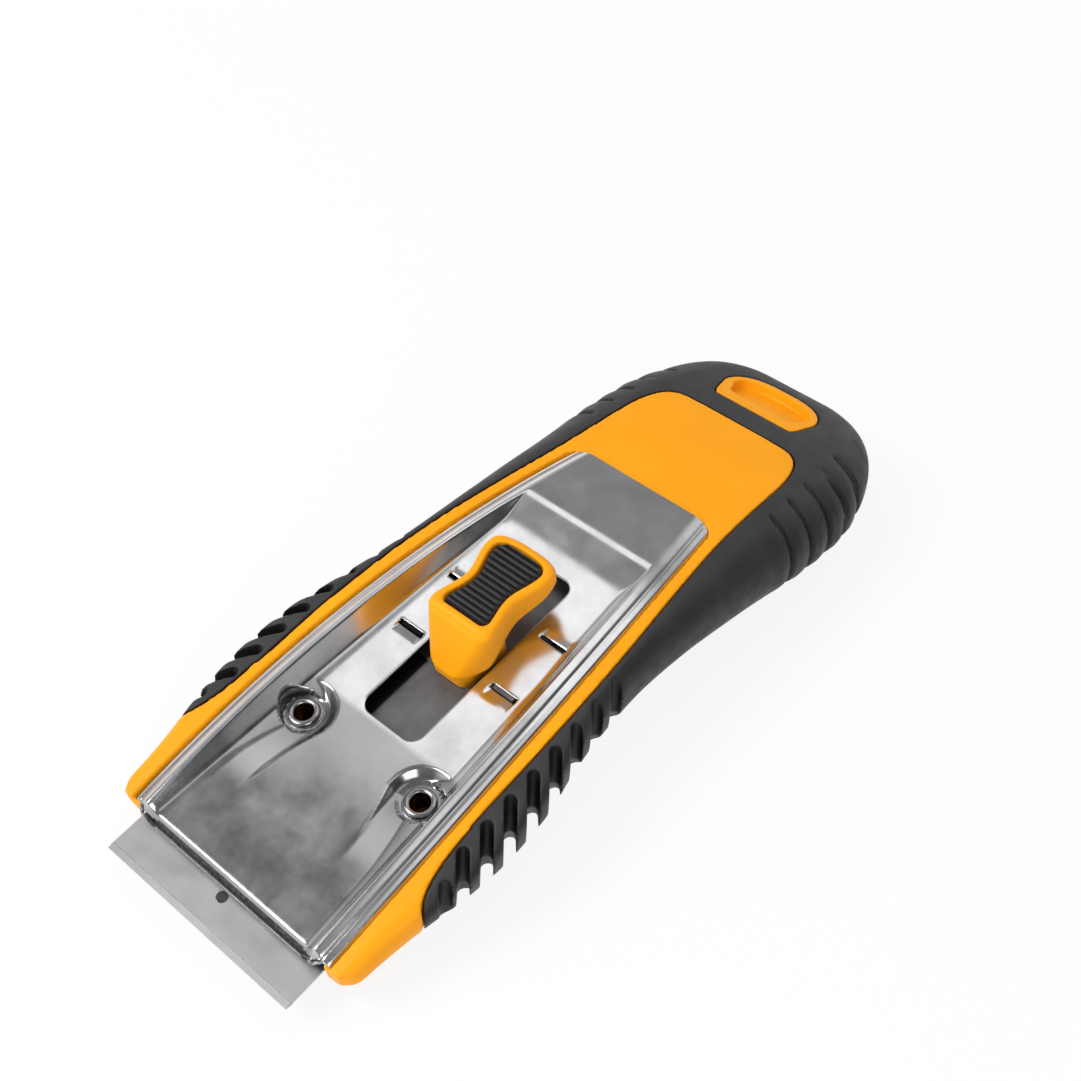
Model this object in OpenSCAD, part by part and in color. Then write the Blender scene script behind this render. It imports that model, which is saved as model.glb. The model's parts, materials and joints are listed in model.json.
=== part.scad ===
// Razor blade scraper: a blade on a sliding carriage inside a stamped steel
// cassette, held in a moulded handle with a soft grip.
// Every piece is drawn first in the plate's own frame: y runs back from the
// front edge of the face plate, z stands square to the tray's floor and z = 0
// is the floor's upper side. placed() then rests the tool on chin and heel.

/* [Blade] */
// Width of the blade
blade_w = 40; // [34:0.5:40]
// Length of the blade from edge to back
blade_l = 17.5; // [16:0.25:18]
// Thickness of the blade
blade_t = 0.3; // [0.2:0.05:0.35]
// How far the edge stands out of the face plate
blade_out = 7.7; // [6.5:0.1:8.2]
// Hole near the edge
blade_hole_d = 2; // [1:0.1:3]
// Width of the ground edge
blade_grind = 1.1; // [0.6:0.1:2]

/* [Face plate] */
// Steel to each side of the blade
plate_margin = 1.8; // [1.7:0.1:2.4]
// Length of the face plate
plate_l = 96.5; // [95:0.5:100]
// Thickness of the face plate
plate_t = 0.8; // [0.6:0.05:0.9]
// Radius of the plate's side edges in plan
side_r = 575; // [540:5:640]
// Width of the sloping border
bevel_w = 3.3; // [2.8:0.1:3.8]
// Fall of the sloping border
bevel_h = 1.4; // [1:0.1:1.8]
// Width of the tray's floor at the front
tray_w = 33; // [31:0.5:34]
// Width of the tray's floor at the rear
tray_rear_w = 25; // [23:0.5:26]
// Length of the tray's floor
tray_l = 75.7; // [74.5:0.1:77]
// Length of the ramp behind the floor
ramp_l = 6.2; // [5:0.1:7]
// Width of the slot
slot_w = 10.8; // [10:0.1:11.4]
// Start of the slot
slot_y = 33.4; // [33:0.1:34]
// Length of the slot
slot_l = 38.5; // [38:0.1:39.5]
// Centre of the front detent windows
window_y = 49.5; // [49.2:0.1:49.8]
// Step between the detent windows
window_pitch = 12.9; // [12:0.1:13.2]
// Length of a detent window
window_l = 5.3; // [4.8:0.1:5.6]
// Distance between the eyelets
eyelet_span = 25.8; // [25:0.1:26.6]
// Eyelets behind the front edge
eyelet_y = 27.3; // [27:0.1:28]
// Width of an eyelet's flange
eyelet_d = 6; // [5.4:0.1:6.4]
// Bore of an eyelet
eyelet_bore = 3.2; // [2.6:0.1:3.4]

/* [Handle] */
// Length of the handle behind the plate's front edge
handle_l = 144.4; // [143:0.2:148]
// Radius of the arched back
arch_r = 300; // [290:5:330]
// Height of the arch's crest at the plate's edges
arch_h = 2.9; // [2.6:0.1:3.2]
// Width of the orange rim beside the plate
rim_w = 2; // [1.8:0.1:2.4]
// Width of the orange panel at its rear end
panel_w = 33.6; // [31:0.2:35]
// Rear end of the orange panel
panel_l = 123.4; // [121:0.2:124]
// Thickness of the soft skin under the handle
skin = 2.6; // [2.4:0.1:3]
// Flare of the nose beyond the rim
nose_flare = 1.7; // [1.5:0.1:2.4]
// Flare of the ribbed grip beyond the rim
grip_flare = 5.3; // [4.8:0.1:6]
// Flare of the waist beyond the rim
waist_flare = 2.7; // [2.7:0.1:3.6]
// Flare of the heel beyond the rim
heel_flare = 9.5; // [9:0.1:11]
// Tilt of the plate when the tool lies on a table
rest_tilt = 9.5; // [9:0.1:10]
// Height of the plate's front edge above the table
rest_h = 8.3; // [8:0.1:9]

/* [Grip ribs] */
// Grooves on each side of the grip
rib_count = 9; // [7:1:9]
// Step from groove to groove
rib_pitch = 5.25; // [4.9:0.05:5.4]
// Width of a groove
groove_w = 1.6; // [1.3:0.1:2]
// Drop of a groove's inner end before it leans in
groove_h = 4.5; // [3.5:0.1:5]
// Forward sweep of the grooves in plan
groove_sweep = 48; // [40:1:52]
// Grooves on each side of the tail
tail_count = 5; // [3:1:5]
// Step between the tail's grooves
tail_pitch = 5.6; // [4.5:0.1:5.6]

/* [Thumb slider] */
// Front of the slider's foot
slider_y = 46.2; // [46:0.1:46.4]
// Length of the slider
slider_l = 22.8; // [22.4:0.1:23.6]
// Width of the slider
slider_w = 13.2; // [12.8:0.1:14]
// Height of the slider over the floor
slider_h = 9.9; // [9:0.1:11]
// Draw-in of the slider's waist on each side
slider_waist = 1.4; // [0.8:0.1:1.8]
// Lean of the slider's front
slider_lean = 4.4; // [3.5:0.1:4.8]
// Ribs on the thumb pad
pad_ribs = 14; // [10:1:15]
// Orange border round the thumb pad
pad_margin = 1.6; // [1.4:0.1:1.8]

/* [Hidden] */

orange = [1.0, 0.62, 0.08];
rubber = [0.2, 0.2, 0.21];
steel = [0.74, 0.75, 0.77];
zinc = [0.6, 0.6, 0.58];
charcoal = [0.25, 0.25, 0.26];

// Heights of the stack, from the tray's floor down
sheet_z = -plate_t;
lip_z = -2.2;
blade_z = -2.8;
carriage_t = 0.8;
carriage_z = blade_z - carriage_t;
bed_t = 1;
bed_top = carriage_z - 0.15;
bed_z = bed_top - bed_t;
pocket_z = -1.4;
boss_z = pocket_z - plate_t;

// Fits
gap = 0.15;
bore_gap = 0.05;

plate_half = blade_w / 2 + plate_margin;
side_y = 10;
arch_y = 40.3;
ledge = 1.4;
rim_lip = 0.4;
plate_corner = 2.8;
well_l = tray_l + ramp_l + 5;
eyelet_x = eyelet_span / 2;
pocket_r = 4.4;
pocket_rim_r = 5.6;

neck_w = slot_w - 0.7;
neck_y = slider_y + 0.5;
neck_l = 10.9;
spring_w = 4.4;
spring_t = 0.3;
spring_half = 12.3;
screw_y = [window_y, window_y + 6];
screw_r = 1.2;
screw_head_r = 2.4;
screw_head_h = 1;
carriage_half = 8.6;
carriage_end = 73.2;
carriage_head = 8.6;
stud_x = 9;
stud_y = 5.4;

cover_y = 40;
cover_l = 62;
cover_half = 15.5;
cover_screw_x = 12;
cover_screw_y = [46, 95];
cover_screw_r = 1.4;
cover_head_r = 2.7;
cover_head_h = 1.4;
collar_r = 2.4;
collar_h = 2;

nose_y = -0.3;
nose_r = 2.7;
tail_y = 120.3;
body_steps = 27;
grip_y = 18.5;
nose_end = 27;
tongue_l = 13.4;
groove_lean = 9.5;
core_in = skin + 1;

// Height over the table in the plate's frame
function table_z(y) = -(rest_h + y * sin(rest_tilt)) / cos(rest_tilt);

// Smooth curve through knots [y, value]
function slope(k, i) =
    let (a = max(0, i - 1), b = min(len(k) - 1, i + 1))
    (k[b][1] - k[a][1]) / (k[b][0] - k[a][0]);
function span(a, b, ma, mb, t) =
    let (h = b[0] - a[0])
    (2 * t ^ 3 - 3 * t ^ 2 + 1) * a[1] + (t ^ 3 - 2 * t ^ 2 + t) * h * ma
    + (3 * t ^ 2 - 2 * t ^ 3) * b[1] + (t ^ 3 - t ^ 2) * h * mb;
function along(k, y, i = 0) =
    y <= k[0][0] ? k[0][1]
    : i >= len(k) - 1 ? k[len(k) - 1][1]
    : y > k[i + 1][0] ? along(k, y, i + 1)
    : span(k[i], k[i + 1], slope(k, i), slope(k, i + 1), (y - k[i][0]) / (k[i + 1][0] - k[i][0]));

// Outlines along the tool
function edge_x(y) = plate_half - side_r + sqrt(side_r ^ 2 - (y - side_y) ^ 2);
function arch_z(y) = arch_h - (y - arch_y) ^ 2 / (2 * arch_r);
function crest_x(y) = edge_x(y) - bevel_w;
function crest_z(y) = arch_z(y) + bevel_h;

rim_knots = [[0, edge_x(0) + rim_w], [40, edge_x(40) + rim_w + 0.3], [56, edge_x(56) + rim_w + 0.6],
    [68, edge_x(68) + rim_w + 0.6], [82, edge_x(82) + rim_w + 0.4],
    [96, edge_x(96) + rim_w + 0.7], [119, panel_w / 2], [132, panel_w / 2 - 1]];
flare_knots = [[0, nose_flare], [8, nose_flare + 0.8], [15, nose_flare + 1.9], [20, grip_flare - 0.8],
    [28, grip_flare], [36, grip_flare - 0.1], [41, grip_flare - 0.5], [46, (grip_flare + waist_flare) / 2 - 0.2],
    [56, waist_flare], [66, waist_flare], [78, waist_flare + 1.6],
    [92, heel_flare * 0.7], [108, heel_flare * 0.92], [tail_y, heel_flare]];
waist_z_knots = [[0, -1.9], [8, -1.3], [18, -0.5], [48, -0.6], [64, -2.9], [80, -6], [96, -10.6], [112, -15.2], [128, -19.2],
    [144, -20]];
belly_knots = [[0, 3.3], [8, 1.5], [16, 0], [24, -0.5], [34, -0.4], [52, 2.2], [70, 4.4], [88, 3],
    [104, 0.4], [114, -0.5], [130, -0.5], [144, 0]];

// How square a section is: shoulder, and belly across and down
shoulder_knots = [[8, 1], [20, 0.72], [42, 0.72], [58, 1]];
across_knots = [[8, 0.72], [20, 0.42], [42, 0.42], [58, 0.77]];
down_knots = [[8, 0.8], [20, 1], [42, 1], [58, 0.77]];

function tail_in(y) = y <= tail_y ? 1 : sqrt(max(0.0001, 1 - ((y - tail_y) / (handle_l - tail_y)) ^ 2));
function nose_in(y) =
    let (d = min(nose_r, max(0, nose_r - (y - nose_y))))
    nose_r - sqrt(nose_r ^ 2 - d ^ 2);
function rim_x(y) = along(rim_knots, y) * tail_in(y) ^ 0.56;
function bulge_x(y) = (along(rim_knots, y) + along(flare_knots, y)) * tail_in(y) ^ 0.56 - nose_in(y);
function bulge_z(y) = along(waist_z_knots, y);
function rim_z(y) = bulge_z(y) + (arch_z(y) + rim_lip - bulge_z(y)) * tail_in(y) ^ 0.45;
function belly_z(y) = bulge_z(y) + (table_z(y) + along(belly_knots, y) - bulge_z(y)) * tail_in(y) ^ 0.45;

stations = concat(
    [for (a = [0, 35, 62]) nose_y + nose_r * (1 - cos(a))],
    [for (i = [0 : body_steps]) nose_y + nose_r + (tail_y - nose_y - nose_r) * i / body_steps],
    [for (a = [14, 28, 42, 55, 67, 77, 85]) tail_y + (handle_l - tail_y) * sin(a)]);

// One cross-section of the handle, drawn in by side and top
function section(y, side, top, ns, nl) =
    let (
        x0 = rim_x(y),
        z0 = rim_z(y) - top,
        w = max(x0 + 0.1, bulge_x(y) - side),
        zc = bulge_z(y),
        zb = belly_z(y) + min(side, skin),
        half = concat(
            [for (i = [0 : ns - 1]) let (a = 90 * i / ns, e = along(shoulder_knots, y))
                [x0 + (w - x0) * sin(a) ^ e, zc + (z0 - zc) * cos(a) ^ e]],
            [for (i = [0 : nl - 1]) let (a = 90 * i / nl)
                [w * cos(a) ^ along(across_knots, y), zc + (zb - zc) * sin(a) ^ along(down_knots, y)]])
    )
    concat(
        [for (p = half) [p[0], y, p[1]]],
        [[0, y, zb]],
        [for (i = [len(half) - 1 : -1 : 0]) [-half[i][0], y, half[i][1]]]);

// Where the placed tool begins and ends along y
front_y = -blade_out * cos(rest_tilt) - (blade_z + blade_t / 2) * sin(rest_tilt);
rear_y = max([for (y = stations) for (p = section(y, 0, 0, 6, 9)) p[1] * cos(rest_tilt) - p[2] * sin(rest_tilt)]);
mid_y = (front_y + rear_y) / 2;

module placed() {
    translate([0, -mid_y, rest_h])
        rotate([rest_tilt, 0, 0])
            children();
}

module under_table() {
    rotate([-rest_tilt, 0, 0])
        translate([-60, -60, -60 - rest_h])
            cube([120, 320, 60]);
}

// Closed skin over sections that have the same number of points
module loft(rows) {
    n = len(rows[0]);
    m = len(rows);
    polyhedron(
        points = [for (r = rows) each r],
        faces = concat(
            [[for (i = [0 : n - 1]) i]],
            [for (j = [0 : m - 2]) for (i = [0 : n - 1]) [j * n + (i + 1) % n, j * n + i, j * n + n + i]],
            [for (j = [0 : m - 2]) for (i = [0 : n - 1])
                [j * n + n + (i + 1) % n, j * n + (i + 1) % n, j * n + n + i]],
            [[for (i = [n - 1 : -1 : 0]) (m - 1) * n + i]]));
}

module envelope(side, top, from, to, ns, nl) {
    loft([for (y = stations) if (y >= from && y <= to) section(y, side, top, ns, nl)]);
}

// Flat outline from its right half, front to rear
module outline(half) {
    polygon(concat(half, [for (i = [len(half) - 1 : -1 : 0]) [-half[i][0], half[i][1]]]));
}

module prism(z0, z1) {
    translate([0, 0, z0])
        linear_extrude(z1 - z0)
            children();
}

// The plate's plan, drawn out by d
module plate_plan(d) {
    r = plate_corner + d;
    y1 = plate_l - plate_corner;
    x1 = edge_x(y1) + d - r;
    outline(concat(
        [for (i = [0 : 18]) [edge_x(y1 * i / 18) + d, i == 0 ? -d : y1 * i / 18]],
        [for (a = [15 : 15 : 90]) [x1 + r * cos(a), y1 + r * sin(a)]]));
}

module well_plan(d) {
    outline(concat([[edge_x(0) - ledge + d, -20]],
        [for (i = [0 : 14]) [edge_x(well_l * i / 14) - ledge + d, i == 14 ? well_l + d : well_l * i / 14]]));
}

// Everything under the plate's arched and bevelled back, lowered by d
module cap(d) {
    ys = [for (i = [0 : 26]) -2 + (plate_l + 5) * i / 26];
    fall = bevel_h / bevel_w;
    loft([for (y = ys) [
        [crest_x(y), y, crest_z(y) - d],
        [edge_x(y) + 1, y, arch_z(y) - fall - d],
        [edge_x(y) + 1, y, -12],
        [-edge_x(y) - 1, y, -12],
        [-edge_x(y) - 1, y, arch_z(y) - fall - d],
        [-crest_x(y), y, crest_z(y) - d]]]);
}

// The tray's hollow, drawn out by d
module tray(d) {
    top = 9;
    end = tray_l + ramp_l;
    rise = crest_z(end) / ramp_l;
    ys = concat([for (i = [0 : 12]) i == 0 ? -3 : tray_l * i / 12], [end, end + 2]);
    function floor_x(y) = tray_w / 2 - (tray_w - tray_rear_w) / 2 * min(1, y / tray_l);
    function floor_z(y) = max(0, y - tray_l) * rise;
    function lean(y) = (crest_x(y) - floor_x(y)) / crest_z(min(y, tray_l));
    loft([for (y = ys)
        let (xf = floor_x(y) + floor_z(y) * lean(y) + d * 0.6, xt = floor_x(y) + top * lean(y) + d * 1.1)
        [[xt, y, top], [xf, y, floor_z(y) - d], [-xf, y, floor_z(y) - d], [-xt, y, top]]]);
}

// Stamped pocket round an eyelet: a dished seat that runs out forwards
module pocket(d) {
    translate([eyelet_x, eyelet_y, pocket_z - d])
        cylinder(r1 = pocket_r + d * 0.7, r2 = pocket_rim_r + d * 0.7 + 0.6 * d, h = -pocket_z + d, $fn = 48);
    translate([eyelet_x, eyelet_y, pocket_z + 3.4])
        rotate([84, 0, 0])
            cylinder(r = 3.4 + d, h = 15, $fn = 48);
}

module both() {
    children();
    mirror([1, 0, 0])
        children();
}

module slot_plan(x, y0, y1, r) {
    for (sx = [-1, 1]) {
        for (y = [y0 + r, y1 - r]) {
            translate([sx * (x - r), y])
                circle(r = r, $fn = 32);
        }
    }
    translate([-x + r, y0])
        square([2 * x - 2 * r, y1 - y0]);
    translate([-x, y0 + r])
        square([2 * x, y1 - y0 - 2 * r]);
}

// Stamped steel face: arched border, tray, ramp, slot, windows and seats
module face_plate() {
    color(steel) placed() {
        difference() {
            union() {
                difference() {
                    intersection() {
                        prism(-3, 9)
                            plate_plan(0);
                        cap(0);
                    }
                    difference() {
                        cap(plate_t);
                        tray(plate_t);
                    }
                }
                translate([-tray_w / 2, 0, lip_z])
                    cube([tray_w, plate_t, -lip_z]);
                intersection() {
                    both()
                        pocket(plate_t);
                    translate([-30, 1, boss_z])
                        cube([60, 60, -boss_z - plate_t / 2]);
                }
            }
            tray(0);
            both()
                pocket(0);
            both()
                translate([eyelet_x, eyelet_y, -6])
                    cylinder(r = eyelet_bore / 2 + 0.5 + bore_gap, h = 8, $fn = 32);
            prism(-6, 6)
                slot_plan(slot_w / 2, slot_y, slot_y + slot_l, 2.2);
            for (y = [window_y, window_y + window_pitch]) {
                for (sx = [-1, 1]) {
                    translate([sx * 10.2 - window_l / 2, y - 0.7, -3])
                        cube([window_l, 1.4, 6]);
                }
            }
        }
    }
}

// Steel bed under the carriage, pressed up under the eyelets
module bed_plate() {
    color(zinc) placed() {
        difference() {
            union() {
                intersection() {
                    prism(bed_z, bed_top)
                        well_plan(-gap);
                    translate([-40, 0.6, -10])
                        cube([80, well_l, 10]);
                }
                both() {
                    translate([eyelet_x, eyelet_y, bed_z])
                        cylinder(r = 3.7, h = boss_z - bed_z, $fn = 32);
                    translate([cover_screw_x, cover_screw_y[0], bed_z - collar_h])
                        cylinder(r = collar_r, h = collar_h + bed_t, $fn = 32);
                }
            }
            prism(-8, 0)
                slot_plan(screw_head_r + 0.6, slot_y + 0.2, slot_y + slot_l + 1.5, 1.5);
            both() {
                translate([eyelet_x, eyelet_y, -8])
                    cylinder(r = eyelet_bore / 2 + 0.5 + bore_gap, h = 8, $fn = 32);
                translate([cover_screw_x, cover_screw_y[0], -12])
                    cylinder(r = cover_screw_r + bore_gap, h = 12, $fn = 32);
            }
        }
    }
}

// Rolled tubular rivet that joins face plate and bed
module eyelet() {
    b = eyelet_bore / 2;
    translate([0, 0, bed_z])
        rotate_extrude($fn = 48)
            polygon([[b, -0.6], [eyelet_d / 2 - 0.3, -0.6], [eyelet_d / 2 - 0.1, -0.3], [eyelet_d / 2 - 0.1, 0],
                [b + 0.5, 0], [b + 0.5, pocket_z - bed_z], [eyelet_d / 2, pocket_z - bed_z],
                [eyelet_d / 2, pocket_z - bed_z + 0.3], [eyelet_d / 2 - 0.3, pocket_z - bed_z + 0.6],
                [b + 0.5, pocket_z - bed_z + 0.7], [b + 0.15, pocket_z - bed_z + 0.55], [b, pocket_z - bed_z + 0.2]]);
}

module eyelet_left() {
    color(steel) placed()
        translate([-eyelet_x, eyelet_y, 0])
            eyelet();
}

module eyelet_right() {
    color(steel) placed()
        translate([eyelet_x, eyelet_y, 0])
            eyelet();
}

// Plan of the hard moulding: rim, panel and its rounded rear end
module core_plan() {
    r = 11;
    y1 = panel_l - r;
    outline(concat([[rim_x(0) - 0.25, -20]],
        [for (i = [0 : 26]) [rim_x(y1 * i / 26) - 0.25, y1 * i / 26]],
        [for (a = [10 : 10 : 90]) [(rim_x(y1 + r * sin(a)) - 0.25) * cos(a) ^ 0.22, y1 + r * sin(a)]]));
}

// D-shaped inlay that stands through the soft skin at the tail
module inlay_plan(d) {
    y0 = 128.9 + d;
    y1 = 134.2;
    outline(concat([[8.2 - d, y0], [8.9 - d, y0 + 0.6], [9.5 - d, y0 + 2.4]],
        [for (a = [0 : 10 : 90]) [(10 - d) * cos(a) ^ 0.6, y1 + (5.6 - d) * sin(a)]]));
}

// Bare nose: all of the front, and two tongues that run back along the rim
module nose_block() {
    r = rim_x(nose_end);
    translate([0, nose_end - tongue_l, 0])
        rotate([-rest_tilt, 0, 0]) {
            translate([-50, -60, -40])
                cube([100, 60, 60]);
            prism(-6, 14)
                outline(concat([[50, -30], [50, 0]],
                    [for (a = [90 : -9 : 0]) [r + 3.5 - 3.5 * cos(a), tongue_l - tongue_l * sin(a)]],
                    [[r - 1, tongue_l + 0.8]]));
        }
}

module cover_plan(d) {
    slot_plan(cover_half + d, cover_y - d, cover_y + cover_l + d, 7 + d);
}

module at_cover_screws() {
    for (sx = [-1, 1]) {
        for (y = cover_screw_y) {
            translate([sx * cover_screw_x, y, belly_z(y) + cover_head_h + 0.3])
                children();
        }
    }
}

cover_screw_l = bed_top - 0.1 - (belly_z(cover_screw_y[0]) + cover_head_h + 0.3);

// Hard orange moulding: nose, rim, panel, tail root and inlay, with the well for the cassette
module handle_core() {
    color(orange) placed() {
        difference() {
            union() {
                intersection() {
                    envelope(core_in, 0, -5, 130, 2, 6);
                    prism(-40, 12)
                        core_plan();
                }
                intersection() {
                    envelope(0, 0, -5, 36, 6, 9);
                    nose_block();
                }
                envelope(core_in, skin, 112, 141, 4, 6);
                intersection() {
                    envelope(0, 0, 122, 143.5, 6, 9);
                    prism(-17, 0)
                        inlay_plan(0);
                }
            }
            under_table();
            difference() {
                prism(-5, 12)
                    plate_plan(gap);
                cap(plate_t);
            }
            prism(bed_z, 12)
                well_plan(0);
            prism(bed_z - 1, 0)
                slot_plan(screw_head_r + 1, slot_y - 0.4, slot_y + slot_l + 2, 1.5);
            both() {
                translate([eyelet_x, eyelet_y, bed_z - 0.8])
                    cylinder(r = eyelet_d / 2 + 0.4, h = 2, $fn = 32);
                translate([eyelet_x, eyelet_y, bed_z - 4])
                    cylinder(d = eyelet_bore + 1.6, h = 4, $fn = 32);
                translate([cover_screw_x, cover_screw_y[0], bed_z - collar_h - 0.2])
                    cylinder(r = collar_r + 0.1, h = 6, $fn = 32);
            }
            at_cover_screws()
                translate([0, 0, -2])
                    cylinder(r = cover_screw_r + bore_gap, h = cover_screw_l + 2.6, $fn = 32);
            translate([0, 134.4, -13.2])
                rotate([-27, 0, 0])
                    prism(0, 6)
                        translate([0, -134.4])
                            inlay_plan(1.6);
        }
    }
}

// Slot with a round end that drops upright and then leans in under the flank
module groove() {
    r = groove_w / 2;
    translate([0, 0, -groove_h])
        cylinder(d = groove_w, h = 30, $fn = 24);
    rotate([90, 0, 0])
        linear_extrude(groove_w, center = true)
            polygon([[0, 20], [0, -groove_h], [-r, -groove_h], [-r - groove_lean, -groove_h - 15],
                [40, -groove_h - 15], [40, 20]]);
}

// Soft skin moulded over the core, with grip ribs and tail grooves
module grip_overmould() {
    color(rubber) placed() {
        difference() {
            envelope(0, 0, -5, 150, 6, 9);
            nose_block();
            intersection() {
                envelope(core_in, -2, -5, 130, 2, 6);
                prism(-40, 12)
                    core_plan();
            }
            envelope(core_in, skin, 112, 141, 4, 6);
            prism(-17, 0)
                inlay_plan(0);
            prism(-40, -4)
                cover_plan(gap);
            under_table();
            for (i = [0 : rib_count - 1]) {
                y = grip_y + i * rib_pitch;
                both()
                    translate([rim_x(y) + 1.4 + groove_w / 2, y, 0])
                        rotate([-rest_tilt, 0, 0])
                            rotate([0, 0, -groove_sweep])
                                groove();
            }
            for (i = [0 : tail_count - 1]) {
                y = 104.5 + i * tail_pitch;
                both()
                    translate([rim_x(y), y, bulge_z(y)])
                        rotate([82, 0, 0])
                            difference() {
                                cylinder(r = 16, h = 0.8, $fn = 64, center = true);
                                cylinder(r = bulge_x(y) - rim_x(y) - 0.8, h = 3, $fn = 64, center = true);
                                translate([-20, -40, -3])
                                    cube([40, 32, 6]);
                                translate([-40, -20, -3])
                                    cube([42.5, 40, 6]);
                            }
            }
        }
    }
}

// Hard cover over the hollow underside, between chin and heel
module base_cover() {
    color(charcoal) placed() {
        difference() {
            intersection() {
                envelope(0, 0, 30, 112, 6, 9);
                prism(-40, -6)
                    cover_plan(0);
            }
            envelope(core_in, 0, 25, 115, 2, 6);
            at_cover_screws() {
                translate([0, 0, -12])
                    cylinder(r = cover_head_r + 0.2, h = 12, $fn = 32);
                translate([0, 0, -2])
                    cylinder(r = cover_screw_r + 0.1, h = 12, $fn = 32);
            }
        }
    }
}

module cover_screws() {
    color(zinc) placed()
        at_cover_screws() {
            cylinder(r = cover_screw_r, h = cover_screw_l, $fn = 32);
            translate([0, 0, -cover_head_h])
                cylinder(r1 = cover_head_r - 0.4, r2 = cover_head_r, h = cover_head_h, $fn = 32);
        }
}

// Sliding steel strip with a wide head for the blade
module carriage() {
    color(zinc) placed() {
        difference() {
            prism(carriage_z, blade_z) {
                translate([-carriage_half, 1])
                    square([2 * carriage_half, carriage_end - 1]);
                translate([-blade_w / 2 + 3, 1])
                    square([blade_w - 6, carriage_head]);
            }
            for (y = screw_y) {
                translate([0, y, -8])
                    cylinder(r = screw_r + bore_gap, h = 8, $fn = 32);
            }
            both()
                translate([stud_x, stud_y, -8])
                    cylinder(r = 1 + bore_gap, h = 8, $fn = 32);
        }
    }
}

module blade_studs() {
    color(zinc) placed()
        both()
            translate([stud_x, stud_y, carriage_z]) {
                cylinder(r = 1, h = carriage_t, $fn = 32);
                translate([0, 0, carriage_t])
                    cylinder(r = 1.5, h = blade_t + 0.05, $fn = 32);
            }
}

// Single-edge blade, ground on both sides
module blade() {
    color(steel) placed() {
        difference() {
            translate([-blade_w / 2, -blade_out, blade_z])
                rotate([90, 0, 90])
                    linear_extrude(blade_w)
                        polygon([[0, blade_t / 2], [blade_grind, 0], [blade_l, 0],
                            [blade_l, blade_t], [blade_grind, blade_t]]);
            translate([0, -2, -5])
                cylinder(d = blade_hole_d, h = 5, $fn = 32);
            both()
                translate([stud_x, stud_y, -5])
                    cylinder(r = 1.6, h = 5, $fn = 32);
        }
    }
}

// Cross leaf with a ridge at each end that clicks into the windows
module detent_spring() {
    z = blade_z;
    t = spring_t;
    a = 1.4;
    color(steel) placed() {
        difference() {
            translate([0, window_y + spring_w / 2, 0])
                rotate([90, 0, 0])
                    linear_extrude(spring_w)
                        outline([[4.6, z], [8.3, z + a], [spring_half, z + a],
                            [spring_half, z + a + t], [8.2, z + a + t], [4.5, z + t]]);
            translate([0, window_y, -6])
                cylinder(r = screw_r + bore_gap, h = 6, $fn = 32);
        }
        both()
            translate([8, window_y - 0.45, z + a])
                cube([4.2, 0.9, -0.25 - z - a]);
    }
}

module slider_screws() {
    color(zinc) placed()
        for (y = screw_y) {
            translate([0, y, carriage_z - screw_head_h]) {
                cylinder(r = screw_head_r, h = screw_head_h, $fn = 32);
                cylinder(r = screw_r, h = screw_head_h + 6, $fn = 32);
            }
        }
}

// Right half of the slider's waisted plan, drawn in by d, from y0 on
function slider_half(d, y0) =
    let (
        w = slider_w / 2 - d,
        bend = slider_l - 4.6,
        k = [[0, w - 2.3], [1.8, w - 1.4], [5.4, w - 0.1], [12.6, w - slider_waist], [bend, w]]
    )
    concat(
        [for (i = [0 : 16]) [along(k, y0 + (bend - y0) * i / 16), y0 + (bend - y0) * i / 16]],
        [for (a = [12 : 13 : 90]) [w * cos(a) ^ 0.7, bend + (4.6 - d) * sin(a)]]);

// Thumb slider: neck in the slot, leaning front, waisted sides, lifted rear
module thumb_slider() {
    h = slider_h;
    l = slider_l;
    color(orange) placed() {
        difference() {
            union() {
                translate([0, slider_y, 0])
                    intersection() {
                        prism(0, 20)
                            outline(slider_half(0, 0));
                        rotate([90, 0, 90])
                            translate([0, 0, -20])
                                linear_extrude(40)
                                    polygon([[0, 0.3], [11.3, 0.3], [14.5, 2.2], [20, 5.2], [l + 1, 6.6], [l + 1, h - 1],
                                        [20, h], [12.6, h - 0.3], [slider_lean + 0.8, h],
                                        [slider_lean, h - 0.5]]);
                        rotate([90, 0, 0])
                            translate([0, 0, -40])
                                linear_extrude(60)
                                    polygon([[-slider_w / 2 + 0.9, 0], [slider_w / 2 - 0.9, 0],
                                        [slider_w / 2 + 0.1, h - 1.5], [slider_w / 2 + 0.1, h + 2],
                                        [-slider_w / 2 - 0.1, h + 2], [-slider_w / 2 - 0.1, h - 1.5]]);
                    }
                prism(blade_z, 0.6)
                    slot_plan(neck_w / 2, neck_y, neck_y + neck_l, 2);
            }
            translate([-neck_w, window_y - spring_w / 2 - 0.1, blade_z - 1])
                cube([2 * neck_w, spring_w + 0.2, spring_t + 1.05]);
            both()
                translate([4.3, window_y - spring_w / 2 - 0.1, blade_z - 1])
                    cube([3, spring_w + 0.2, 2.2]);
            for (y = screw_y) {
                translate([0, y, -6])
                    cylinder(r = screw_r + bore_gap, h = 8.6, $fn = 32);
            }
            translate([0, slider_y, h - 1.1])
                linear_extrude(4)
                    outline(slider_half(pad_margin, slider_lean + 1.6));
        }
    }
}

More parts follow.
